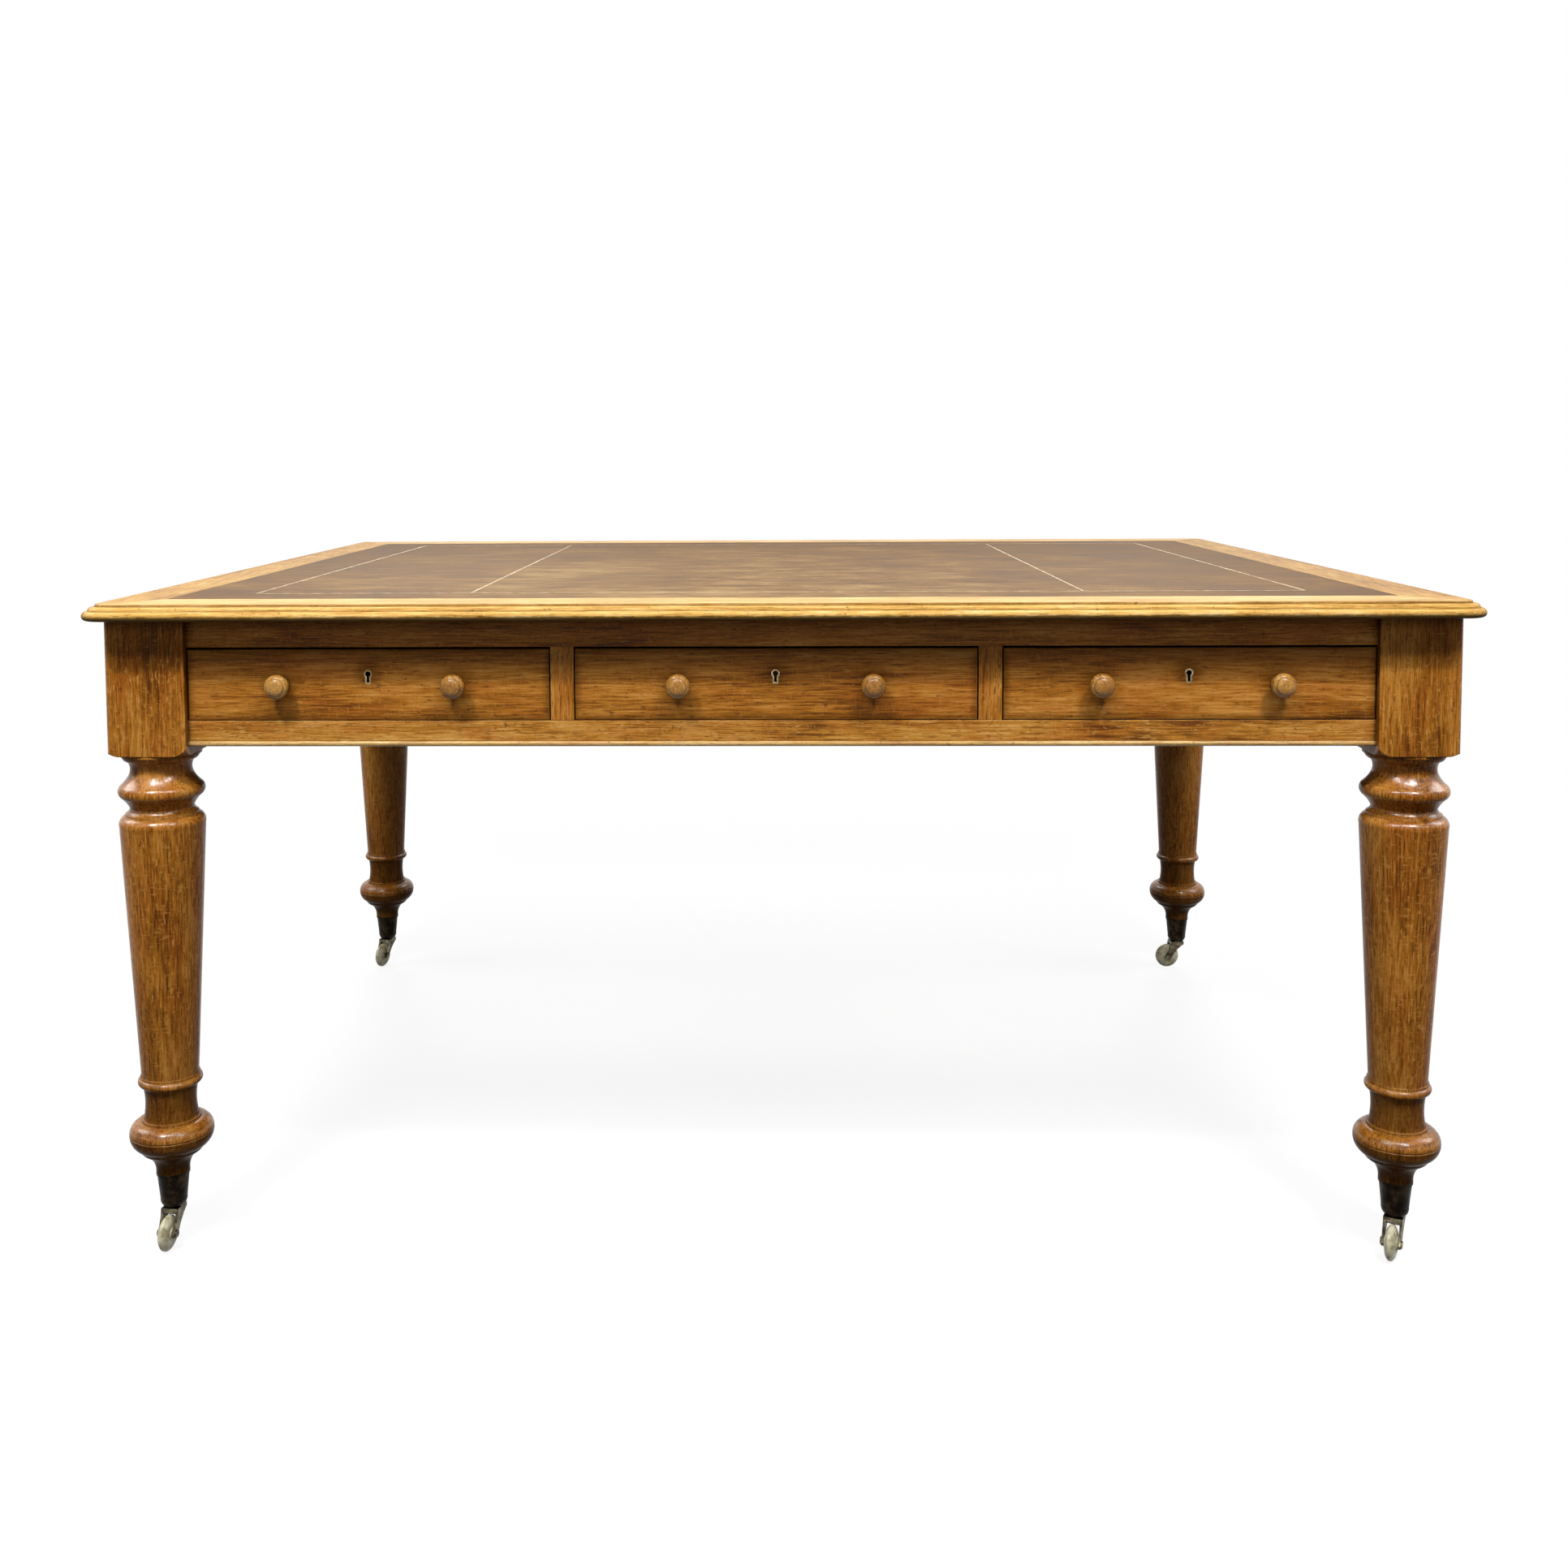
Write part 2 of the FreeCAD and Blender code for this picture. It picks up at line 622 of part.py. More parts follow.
def leg_tenons(name, sign_x, sign_y):
    """The three tenons that enter the leg on one corner."""
    rail_x = "layout.inner_x + dims.tenon_length / 2"
    end_x = "layout.apron_x - dims.end_apron_thickness / 2"
    end_y = "layout.inner_y + dims.tenon_length / 2"
    return {
        "top_rail": tenon("top_rail", name + "_top", rail_x, "layout.rail_y", sign_x, sign_y),
        "lower_rail": tenon("lower_rail", name + "_lower", rail_x, "layout.rail_y", sign_x, sign_y),
        "end_apron": tenon("end_apron", name + "_end", end_x, end_y, sign_x, sign_y),
    }


def build_leg(label, sign_x, sign_y):
    """Leg on one corner: block with a rounded outer arris, turned shoulder and shaft, mortises."""
    body = new_body(label + "_turned")
    half_x = "%d * layout.block_half" % sign_x
    half_y = "%d * layout.block_half" % sign_y
    arris_x = "%d * (layout.block_half - dims.block_arris)" % sign_x
    arris_y = "%d * (layout.block_half - dims.block_arris)" % sign_y
    swell = "%d * (1 - sqrt(0.5)) * dims.block_arris" % (-sign_x * sign_y)
    block_plan = (
        ("-1 * " + half_x, "-1 * " + half_y),
        (half_x, "-1 * " + half_y),
        (half_x, arris_y, swell),
        (arris_x, half_y),
        ("-1 * " + half_x, half_y),
    )
    block = pad(body, outline(body, "XY_Plane", block_plan, "layout.block_bottom"), "dims.block_height")
    beyond_corner = "sqrt(2) * dims.block_width / 2 + dims.shoulder_swell"
    shoulder = (
        ("dims.shoulder_radius", "layout.block_bottom", "-dims.shoulder_swell"),
        (beyond_corner, "layout.block_bottom + dims.shoulder_rise"),
        (beyond_corner, "layout.block_bottom"),
    )
    trimmed = turn(body, outline(body, "XZ_Plane", shoulder), "Groove")
    doc.recompute()
    if trimmed.Shape.Volume >= block.Shape.Volume:
        raise RuntimeError("%s has no turned shoulder" % label)
    turn(body, outline(body, "XZ_Plane", leg_profile()))
    place(body, "%d * layout.leg_x" % sign_x, "%d * layout.leg_y" % sign_y)
    mortises = list(leg_tenons(label + "_mortise", sign_x, sign_y).values())
    node(label, cut(label + "_cut", body, mortises))


def lock_places():
    """Middle of each drawer along X."""
    return ("-1 * layout.side_opening_x", "0", "layout.side_opening_x")


def build_rails(side, sign):
    """Top rail with lock mortises and screw holes, and lower rail, of one long side."""
    size = ["2 * layout.inner_x", "layout.rail_depth"]
    middle = ("0", "%d * layout.rail_y" % sign)
    top = box(side + "_top_blank", size + ["dims.top_rail_height"], middle, "layout.opening_top")
    lower = box(side + "_lower_blank", size + ["dims.lower_rail_height"], middle, "layout.rail_bottom")
    tenons = [leg_tenons(side + "_tenon", sign_x, sign) for sign_x in (-1, 1)]
    top = fuse(side + "_top_tenoned", [top] + [each["top_rail"] for each in tenons])
    lower = fuse(side + "_lower_tenoned", [lower] + [each["lower_rail"] for each in tenons])
    mortise_size = (
        "dims.bolt_width + 2 * dims.bolt_mortise_room",
        "dims.bolt_thickness + 2 * dims.bolt_mortise_room",
        "dims.bolt_throw + dims.bolt_mortise_room",
    )
    holes = []
    for index, x in enumerate(lock_places()):
        y = "%d * (layout.apron_y - layout.lock_y)" % sign
        holes.append(box("%s_bolt_mortise%d" % (side, index), mortise_size, (x, y), "layout.opening_top"))
    for index, (x, y) in enumerate(screw_places()):
        if y.startswith("%d *" % sign):
            holes.append(screw("%s_rail_hole%d" % (side, index), x, y))
    node(side + "_top_rail", cut(side + "_top_cut", top, holes))
    node(side + "_lower_rail", lower)


def bead(name, length, along_x):
    """Half-round bead, lying along X or Y, with its round face outwards on -Y or -X."""
    body = new_body(name)
    profile = (
        ("0", "layout.apron_bottom", "-dims.bead_projection"),
        ("0", "layout.rail_bottom"),
        ("-dims.bead_depth", "layout.rail_bottom"),
        ("-dims.bead_depth", "layout.apron_bottom"),
    )
    pad(body, outline(body, "XZ_Plane" if not along_x else "YZ_Plane", profile), length, symmetric=True)
    return body


def build_apron():
    """End aprons, dividers, centre rail and beads."""
    aprons = []
    height = "layout.underside - layout.rail_bottom"
    for sign_x in (-1, 1):
        x = "%d * (layout.apron_x - dims.end_apron_thickness / 2)" % sign_x
        board_size = ("dims.end_apron_thickness", "2 * layout.inner_y", height)
        board = box("end_apron_blank", board_size, (x, "0"), "layout.rail_bottom")
        tenons = [leg_tenons("end_tenon", sign_x, sign_y)["end_apron"] for sign_y in (-1, 1)]
        aprons.append(fuse("end_apron_tenoned", [board] + tenons))
    node("end_aprons", group("aprons", aprons), 2)

    dividers = []
    divider_size = ("dims.divider_width", "layout.rail_depth", "layout.opening_height")
    for sign_x in (-1, 1):
        for sign_y in (-1, 1):
            middle = ("%d * layout.divider_x" % sign_x, "%d * layout.rail_y" % sign_y)
            dividers.append(box("divider", divider_size, middle, "layout.opening_bottom"))
    node("drawer_dividers", group("dividers", dividers), 4)

    rail_size = ("2 * layout.apron_inner_x", "dims.centre_rail_thickness", height)
    node("centre_rail", box("middle_rail", rail_size, ("0", "0"), "layout.rail_bottom"))

    beads = []
    for angle in (0, 180):
        long_bead = bead("long_bead", "2 * layout.inner_x", along_x=True)
        end_bead = bead("end_bead", "2 * layout.inner_y", along_x=False)
        sign = 1 if angle == 0 else -1
        beads.append(place(long_bead, y="%d * layout.apron_y" % sign, turn=angle))
        beads.append(place(end_bead, x="%d * layout.apron_x" % sign, turn=angle))
    node("apron_beads", group("beads", beads), 4)


def build_carriage():
    """Runners, guides, kickers and stops that carry the drawers inside the frame."""
    runners = []
    guides = []
    kickers = []
    stops = []
    for sign_y in (-1, 1):
        y = "%d * layout.carriage_y" % sign_y
        for sign_x in (-1, 1):
            spans = (
                ("layout.divider_x", "dims.divider_width", "2"),
                ("layout.end_guide_x", "layout.end_width", "1"),
            )
            for x, width, ledges in spans:
                shift = "0" if ledges == "2" else "-1"
                runner_bottom = "layout.opening_bottom - dims.runner_height"
                for pieces, ledge, thick, level in (
                    (runners, "dims.runner_ledge", "dims.runner_height", runner_bottom),
                    (kickers, "dims.kicker_ledge", "dims.kicker_height", "layout.opening_top"),
                ):
                    size = ("%s + %s * %s" % (width, ledges, ledge), "layout.carriage_length", thick)
                    middle = "%d * (%s + %s * %s / 2)" % (sign_x, x, shift, ledge)
                    pieces.append(box("carriage", size, (middle, y), level))
                guide_size = ("%s - %s * dims.guide_setback" % (width, ledges), "layout.carriage_length")
                guide_middle = "%d * (%s - %s * dims.guide_setback / 2)" % (sign_x, x, shift)
                guide_size = guide_size + ("dims.guide_height",)
                guides.append(box("guide", guide_size, (guide_middle, y), "layout.opening_bottom"))
        front_back = "layout.apron_y - dims.front_thickness"
        stop_y = "%d * (%s - dims.stop_clearance - dims.stop_width / 2)" % (sign_y, front_back)
        for x, opening in zip(lock_places(), OPENINGS):
            for side in (-1, 1):
                stop_x = "%s + %d * %s / 4" % (x, side, opening)
                stop_size = ("dims.stop_length", "dims.stop_width", "dims.stop_height")
                stops.append(box("stop", stop_size, (stop_x, stop_y), "layout.opening_bottom"))
    node("drawer_runners", group("runners", runners), 8)
    node("drawer_guides", group("guides", guides), 8)
    node("drawer_kickers", group("kickers", kickers), 8)
    node("drawer_stops", group("stops", stops), 12)


def knob_offset(sign, width):
    """Place of a knob to the left or right of the middle of a drawer front of this width."""
    return "%d * dims.knob_spread * (%s) / 2" % (sign, width)


def knob(name, x):
    """Turned knob with a spigot that passes through the drawer front."""
    body = new_body(name)
    profile = (
        ("0", "dims.front_thickness"),
        ("0", "-dims.knob_length", "-dims.knob_face_swell"),
        ("dims.knob_button_radius", "dims.knob_button_rise - dims.knob_length"),
        ("dims.knob_button_radius", "2 * dims.knob_button_rise - dims.knob_length", "-dims.knob_face_swell"),
        ("dims.knob_radius", "dims.knob_rim - dims.knob_length", "-dims.knob_button_rise"),
        ("dims.knob_neck_radius", "-dims.knob_neck_length", "dims.knob_neck_swell"),
        ("dims.knob_base_radius", "-dims.knob_base_thickness"),
        ("dims.knob_base_radius", "0"),
        ("dims.knob_spigot_radius", "0"),
        ("dims.knob_spigot_radius", "dims.front_thickness"),
    )
    turn(body, outline(body, "XY_Plane", profile))
    return place(body, x, "0", "layout.front_middle")


def keyhole(name, margin, start, depth):
    """Keyhole form through the drawer front: round top and a slot below it, grown by a margin."""
    radius = "dims.keyhole_radius + " + margin
    barrel = cylinder(name + "_round", radius, depth, ("0", start, "layout.keyhole_level"), Vector(0, 1, 0))
    slot_size = ("dims.keyhole_slot_width + 2 * " + margin, depth, "dims.keyhole_drop + " + margin)
    slot_bottom = "layout.keyhole_level - dims.keyhole_drop - " + margin
    slot = box(name + "_slot", slot_size, ("0", "%s + (%s) / 2" % (start, depth)), slot_bottom)
    return fuse(name, [barrel, slot])


def lock_box(name, grow, height, bottom):
    """Block the width and thickness of the bolt, grown by a clearance."""
    size = ("dims.bolt_width + 2 * " + grow, "dims.bolt_thickness + 2 * " + grow, height)
    return box(name, size, ("0", "layout.lock_y"), bottom)


def drawer_front(name, width):
    """Front board with laps for the sides, a groove for the bottom, knob holes, keyhole and lock recess."""
    board_size = (width, "dims.front_thickness", "layout.front_height")
    board = box(name + "_board", board_size, ("0", "dims.front_thickness / 2"), "layout.front_bottom")
    holes = []
    for sign in (-1, 1):
        lap_x = "%d * ((%s) - dims.side_thickness) / 2" % (sign, width)
        lap_y = "dims.front_thickness - dims.side_lap / 2"
        lap_size = ("dims.side_thickness", "dims.side_lap", "layout.opening_height")
        holes.append(box(name + "_lap", lap_size, (lap_x, lap_y), "layout.opening_bottom"))
        knob_place = (knob_offset(sign, width), "0", "layout.front_middle")
        bore_size = ("dims.knob_spigot_radius", "dims.front_thickness")
        holes.append(cylinder(name + "_bore", *bore_size, knob_place, Vector(0, 1, 0)))
    groove_size = ("(%s) - 2 * dims.side_thickness" % width, "dims.groove_depth", "dims.bottom_thickness")
    groove_y = "dims.front_thickness - dims.groove_depth / 2"
    holes.append(box(name + "_groove", groove_size, ("0", groove_y), "layout.bottom_level"))
    recess_size = ("dims.lock_width", "dims.lock_thickness", "dims.lock_height")
    holes.append(box(name + "_recess", recess_size, ("0", "layout.lock_y"), "layout.lock_bottom"))
    holes.append(keyhole(name + "_keyway", "0", "0", "dims.front_thickness - dims.lock_thickness / 2"))
    holes.append(keyhole(name + "_liner_seat", "dims.liner_margin", "0", "dims.liner_depth"))
    return cut(name + "_front", board, holes)


def drawer_box(name, width):
    """Two grooved sides, a back and a bottom panel."""
    inner = "(%s) - 2 * dims.side_thickness" % width
    pieces = []
    side_length = "layout.drawer_depth - layout.side_start"
    side_y = "(layout.drawer_depth + layout.side_start) / 2"
    side_size = ("dims.side_thickness", side_length, "layout.side_height")
    panel_length = "layout.drawer_depth - dims.front_thickness + dims.groove_depth"
    panel_size = (inner + " + 2 * dims.groove_depth", panel_length, "dims.bottom_thickness")
    panel_y = "layout.drawer_depth - (%s) / 2" % panel_length
    notch_size = ("dims.groove_depth", side_length, "dims.bottom_thickness")
    for sign in (-1, 1):
        side_x = "%d * ((%s) - dims.side_thickness) / 2" % (sign, width)
        side = box(name + "_side_blank", side_size, (side_x, side_y), "layout.side_bottom")
        notch_x = "%d * ((%s) + dims.groove_depth) / 2" % (sign, inner)
        notch = box(name + "_notch", notch_size, (notch_x, side_y), "layout.bottom_level")
        pieces.append(cut(name + "_side", side, [notch]))
    back_size = (inner, "dims.back_thickness", "layout.back_height")
    back_y = "layout.drawer_depth - dims.back_thickness / 2"
    pieces.append(box(name + "_back", back_size, ("0", back_y), "layout.back_bottom"))
    panel = box(name + "_panel_blank", panel_size, ("0", panel_y), "layout.bottom_level")
    ear_size = (inner + " + 4 * dims.groove_depth", "dims.groove_depth", "dims.bottom_thickness")
    ear_y = "dims.front_thickness - dims.groove_depth / 2"
    ears = box(name + "_ears", ear_size, ("0", ear_y), "layout.bottom_level")
    tongue_size = (inner, "dims.groove_depth", "dims.bottom_thickness")
    tongue = box(name + "_tongue", tongue_size, ("0", ear_y), "layout.bottom_level")
    pieces.append(fuse(name + "_panel", [cut(name + "_panel_cut", panel, [ears]), tongue]))
    return group(name + "_box", pieces)


def drawer_lock(name):
    """Brass lock case with a slot for its bolt, and the brass liner of the keyhole."""
    case_size = ("dims.lock_width", "dims.lock_thickness", "dims.lock_height")
    case = box(name + "_case_blank", case_size, ("0", "layout.lock_y"), "layout.lock_bottom")
    slot_height = "dims.bolt_height + dims.bolt_clearance"
    slot = lock_box(name + "_slot", "dims.bolt_clearance", slot_height, "layout.bolt_slot_bottom")
    keyway = keyhole(name + "_case_keyway", "0", "0", "dims.front_thickness - dims.lock_thickness / 2")
    liner = keyhole(name + "_liner_blank", "dims.liner_margin", "0", "dims.liner_depth")
    opening = keyhole(name + "_liner_opening", "0", "0", "dims.liner_depth")
    pieces = [cut(name + "_case", case, [slot, keyway]), cut(name + "_liner", liner, [opening])]
    return group(name + "_lock", pieces)


def build_drawer(label, opening, x, back):
    """One drawer with its knobs, lock and bolt, at the front or turned round at the back."""
    width = "%s - 2 * dims.drawer_gap_side" % opening
    y = "layout.apron_y" if back else "-1 * layout.apron_y"
    knobs = [knob(label + "_knob", knob_offset(sign, width)) for sign in (-1, 1)]
    bolt = lock_box(label + "_bolt_bar", "0", "dims.bolt_height", "layout.bolt_bottom")
    pieces = (
        ("front", drawer_front(label, width), 1),
        ("box", drawer_box(label, width), 4),
        ("knobs", group(label + "_pair", knobs), 2),
        ("lock", drawer_lock(label), 2),
        ("bolt", group(label + "_bolt", [bolt]), 1),
    )
    for kind, piece, solids in pieces:
        place(piece, x, y, "0", 180 if back else 0)
        node("%s_%s" % (label, kind), piece, solids)


def castor_cup(name, sign_x, sign_y):
    """Cup that holds the foot of a leg and the swivel pin."""
    body = new_body(name)
    lip = "layout.cup_top - dims.cup_lip_height"
    profile = (
        ("layout.cup_inner_top", "layout.cup_top"),
        ("layout.cup_inner_bottom", "layout.spigot_bottom"),
        ("layout.pin_hole", "layout.spigot_bottom"),
        ("layout.pin_hole", "layout.cup_bottom"),
        ("dims.cup_base_radius", "layout.cup_bottom", "-dims.cup_swell"),
        ("dims.cup_waist_radius", "layout.cup_waist"),
        ("dims.foot_radius - dims.cup_lip_step", lip),
        ("dims.foot_radius", lip),
        ("dims.foot_radius", "layout.cup_top"),
    )
    turn(body, outline(body, "XZ_Plane", profile))
    return place(body, "%d * layout.leg_x" % sign_x, "%d * layout.leg_y" % sign_y)


def castor_fork(name):
    """Fork with a crown hollowed round the wheel, two cheeks, swivel pin and riveted axle.

    Its wheel trails along +X.
    """
    body = new_body(name + "_cheeks")
    cheek = (
        ("-dims.crown_length / 2", "layout.crown_top"),
        ("-dims.crown_length / 2", "layout.crown_bottom", "dims.crown_room"),
        ("dims.castor_trail - dims.cheek_eye_radius", "dims.wheel_radius", "-dims.cheek_eye_drop"),
        ("dims.castor_trail + dims.cheek_eye_radius", "dims.wheel_radius", "dims.crown_room"),
        ("dims.crown_length / 2 + dims.crown_room", "layout.crown_top"),
    )
    pad(body, outline(body, "XZ_Plane", cheek), "layout.fork_width", symmetric=True)
    slot_base = ("dims.castor_trail", "-layout.fork_slot / 2", "dims.wheel_radius")
    slot_radius = "dims.wheel_radius + dims.crown_room"
    slot = cylinder(name + "_slot", slot_radius, "layout.fork_slot", slot_base, Vector(0, 1, 0))
    pin = cylinder(name + "_pin", "dims.pin_radius", "dims.pin_length", ("0", "0", "layout.crown_top"))
    half = "layout.fork_width / 2"
    axle_base = ("dims.castor_trail", "-" + half, "dims.wheel_radius")
    hole = cylinder(name + "_hole", "dims.axle_radius", "layout.fork_width", axle_base, Vector(0, 1, 0))
    fork = cut(name + "_yoke", fuse(name + "_casting", [body, pin]), [slot, hole])
    shank = cylinder(name + "_shank", "dims.axle_radius", "layout.fork_width", axle_base, Vector(0, 1, 0))
    heads = []
    for start in (half, "-(%s) - dims.rivet_head_height" % half):
        head_base = ("dims.castor_trail", start, "dims.wheel_radius")
        head_size = ("dims.rivet_head_radius", "dims.rivet_head_height")
        heads.append(cylinder(name + "_head", *head_size, head_base, Vector(0, 1, 0)))
    return group(name + "_fork", [fork, fuse(name + "_axle", [shank] + heads)])


def castor_wheel(name):
    """Wheel with a narrow tread, full round flanks and a hub, turning about its own Y axis."""
    body = new_body(name)
    half = "dims.wheel_width / 2"
    bore = "dims.axle_radius + dims.axle_clearance"
    web = "dims.wheel_width / 2 - dims.wheel_dish"
    rim = "dims.wheel_radius - dims.wheel_shoulder"
    rim_half = "dims.wheel_rim_width / 2"
    profile = (
        (bore, half),
        (bore, "-" + half),
        ("dims.wheel_hub_radius", "-" + half),
        ("dims.wheel_hub_radius", "-(%s)" % web, "-dims.wheel_flank_swell"),
        (rim, "-" + rim_half, "-dims.wheel_shoulder_swell"),
        ("dims.wheel_radius", "-dims.wheel_tread / 2"),
        ("dims.wheel_radius", "dims.wheel_tread / 2", "-dims.wheel_shoulder_swell"),
        (rim, rim_half, "-dims.wheel_flank_swell"),
        ("dims.wheel_hub_radius", web),
        ("dims.wheel_hub_radius", half),
    )
    turn(body, outline(body, "XY_Plane", profile))
    return body


def build_castors(corners):
    """Cups on the legs, and a fork and a wheel under each."""
    cups = [castor_cup("castor_cup", sign_x, sign_y) for _, sign_x, sign_y in corners]
    node("castor_cups", group("cups", cups), 4)
    for corner, sign_x, sign_y in corners:
        angle = "dims.turn_" + corner
        x = "%d * layout.leg_x" % sign_x
        y = "%d * layout.leg_y" % sign_y
        fork = place(castor_fork("castor_" + corner), x, y, "0", number(angle))
        node("castor_%s_fork" % corner, fork, 2)
        wheel_x = "%s + dims.castor_trail * cos(%s)" % (x, angle)
        wheel_y = "%s + dims.castor_trail * sin(%s)" % (y, angle)
        wheel = castor_wheel("castor_%s_rim" % corner)
        place(wheel, wheel_x, wheel_y, "dims.wheel_radius", number(angle))
        node("castor_%s_wheel" % corner, wheel)


def write_parts():
    """Check every object and every sub-part, then write one file for each sub-part."""
    doc.recompute()
    for piece in doc.Objects:
        if "Invalid" in piece.State or "Error" in piece.State:
            raise RuntimeError("%s failed: %s" % (piece.Label, piece.State))
    for piece, solids in nodes:
        shape = piece.Shape
        if shape.isNull() or not shape.isValid() or len(shape.Solids) != solids:
            raise RuntimeError("%s is not %d sound solids" % (piece.Label, solids))
    os.makedirs("parts", exist_ok=True)
    for piece, solids in nodes:
        piece.Shape.exportStep("parts/%s.step" % piece.Label)
    print(len(nodes), "sub-parts written")


fill(dims, DIMENSIONS, "")
doc.recompute()
fill(layout, LAYOUT, "=")
doc.recompute()

CORNERS = (
    ("front_left", -1, -1),
    ("front_right", 1, -1),
    ("back_left", -1, 1),
    ("back_right", 1, 1),
)
build_top()
for corner_name, corner_x, corner_y in CORNERS:
    build_leg("leg_" + corner_name, corner_x, corner_y)
build_rails("front", -1)
build_rails("back", 1)
build_apron()
build_carriage()
build_castors(CORNERS)
for side_name, at_back in (("front", False), ("back", True)):
    for place_name, drawer_x, drawer_opening in zip(("left", "middle", "right"), lock_places(), OPENINGS):
        build_drawer("%s_%s_drawer" % (side_name, place_name), drawer_opening, drawer_x, at_back)
doc.removeObject("probe")
write_parts()
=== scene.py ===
import math

import bpy
from mathutils import Matrix, Vector


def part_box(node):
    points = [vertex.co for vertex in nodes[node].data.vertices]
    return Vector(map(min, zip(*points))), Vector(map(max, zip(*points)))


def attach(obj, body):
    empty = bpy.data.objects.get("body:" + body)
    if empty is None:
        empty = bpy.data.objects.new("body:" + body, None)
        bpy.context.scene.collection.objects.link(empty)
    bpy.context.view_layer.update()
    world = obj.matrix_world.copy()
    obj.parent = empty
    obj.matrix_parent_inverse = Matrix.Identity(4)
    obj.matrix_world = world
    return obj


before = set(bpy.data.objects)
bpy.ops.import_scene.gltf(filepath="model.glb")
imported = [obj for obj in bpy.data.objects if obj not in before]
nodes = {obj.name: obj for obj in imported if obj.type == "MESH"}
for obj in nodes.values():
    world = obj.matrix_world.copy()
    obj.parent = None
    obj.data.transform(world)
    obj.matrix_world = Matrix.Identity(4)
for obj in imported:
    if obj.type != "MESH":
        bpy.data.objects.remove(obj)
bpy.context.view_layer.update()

MM = 0.001
IMAGE_WIDTH = 1932

# Camera, fitted to the photograph: pixels for the lens, metres and degrees for its place
FOCAL_PIXELS = 2029.1
CENTRE_PIXEL = (903.2, 689.3)
CAMERA_PLACE = (0.0082, -2.3744, 0.9283)
CAMERA_DOWN = 3.946
CAMERA_LEFT = 1.722
CAMERA_ROLL = -0.334
SENSOR = 36.0

# Gilt lines on the leather, measured from the middle of the top
GILT_HALF_LENGTH = 612 * MM
GILT_HALF_WIDTH = 462 * MM
GILT_CROSS = 357 * MM
GILT_LINE = 2.2 * MM
GILT_RISE = 0.15 * MM

# Colours of oak: shade of the grain, body and light streaks
FRAME_OAK = ("#5C3209", "#AC6C20", "#D09448")
RAIL_OAK = ("#6A3C10", "#BE802E", "#DDAC60")
TOP_OAK = ("#966A2C", "#CA9E50", "#E6C588")
END_OAK = ("#744A16", "#AA7C2E", "#CCA458")
KNOB_OAK = ("#724610", "#A67028", "#CEA052")
RAW_OAK = ("#6E4E2C", "#97714A", "#B6936A")
LINING_OAK = ("#8C6638", "#B98F5A", "#D2AE7C")
OAK_STOPS = (0.37, 0.50, 0.64)
RUSSET = "#D89A72"
BRUISE = "#4A2208"
# Dark colour of dirt and old wax, also laid on as painted shade in corners and hollows
GRIME_AND_SHADE = "#1E0E04"

# Marks in oak: length along the grain and width across it, in millimetres
GRAIN_BEND = (300, 60)
PATCH = (170, 55)
RED_PATCH = (90, 24)
BROAD_STREAK = (220, 11)
FINE_STREAK = (42, 2.0)
PORE = (13, 1.5)
FLECK = (12, 2.6)
RAY_MARK = (2.4, 9)
DASH = (9, 3)
KNOCK = (9, 6)
RUBBED_STRETCH = (34, 14)

# Weight of broad streaks and patches in the tone of oak, where fine streaks weigh 1
BROAD_SHARE = 0.35
PATCH_SHARE = 0.65

# Surface of oak: sway and depth of the grain, reach of dirt and painted shade from a corner, width of a
# rubbed arris
GRAIN_SWAY = 9 * MM
GRAIN_DEPTH = 0.4 * MM
DIRT_AND_SHADE_REACH = 26 * MM
ARRIS = 1.8 * MM
WAX_SHINE = 0.14

# Place of the first board in the log, and the step to the next board
LOG_START = (0.0, 0.17, 0.12)
LOG_STEP = (0.63, 0.031, -0.023)

# Turn that brings the way of the grain to X
ALONG = {"X": (0, 0, 0), "Y": (0, 0, -math.pi / 2), "Z": (0, math.pi / 2, 0)}

# How far brooms and shoes have darkened the leg, with painted shade under the bulb, in its groove and round
# the ankle: shares of the height, and black for clean
SOIL_AND_SHADE_HEIGHT = 330 * MM
LEG_SOIL_AND_SHADE = (
    (0.335, "#DCDCDC"), (0.395, "#C4C4C4"), (0.407, "#E0E0E0"), (0.413, "#787878"),
    (0.436, "#6C6C6C"), (0.440, "#C0C0C0"), (0.444, "#707070"), (0.457, "#888888"),
    (0.475, "#CFCFCF"), (0.575, "#C8C8C8"), (0.598, "#808080"), (0.64, "#707070"), (1.0, "#000000"),
)

# Dirt on a drawer front, with painted shade along its edges: width along its edges, reach round its knobs in
# half knobs, reach round its keyhole
EDGE_DIRT_AND_SHADE = 9 * MM
HAND_NEAR = 12 * MM
KNOB_REACH = 2.2
KEY_REACH = 22 * MM
KEYHOLE_RISE = 12 * MM

# Level where the nose of the top turns under, and how the painted shade below it wanders and fades
NOSE_TURN = 745.2 * MM
SHADE_WANDER = 6 * MM
SHADE_SPOT = 18 * MM
SHADE_FADE = 1 * MM

# Beads this near to an end of the desk run along that end
BEAD_END = 20 * MM

# Leather: colours of the dye, its marks and its nap, and the sizes of clouds, rubs, marks and pebble
HIDE_DYE = ((0.34, "#3C2613"), (0.50, "#694B2C"), (0.68, "#937A53"))
SCUFFED_HIDE = "#9A8260"
SCRATCHED_HIDE = "#A88E66"
# Colour multiplied on away from the worn spot: the kept dye, and painted shade
KEPT_DYE_AND_SHADE = "#A4804E"
HIDE_NAP = "#F0CC92"
CLOUD = 190 * MM
HIDE_RUB = (90, 34)
SCUFF = 22 * MM
SCRATCH = (60, 3.5)
PEBBLE = 2.2 * MM
PEBBLE_DEPTH = 0.4 * MM

# Middle of the worn part of the leather in metres, painted lighter there as a pool of light, and the
# distances over which painted shade makes the dye darker
WORN_AND_LIT_SPOT = (-0.1, -0.25)
WORN_AND_LIT_REACH = (0.25, 0.85)

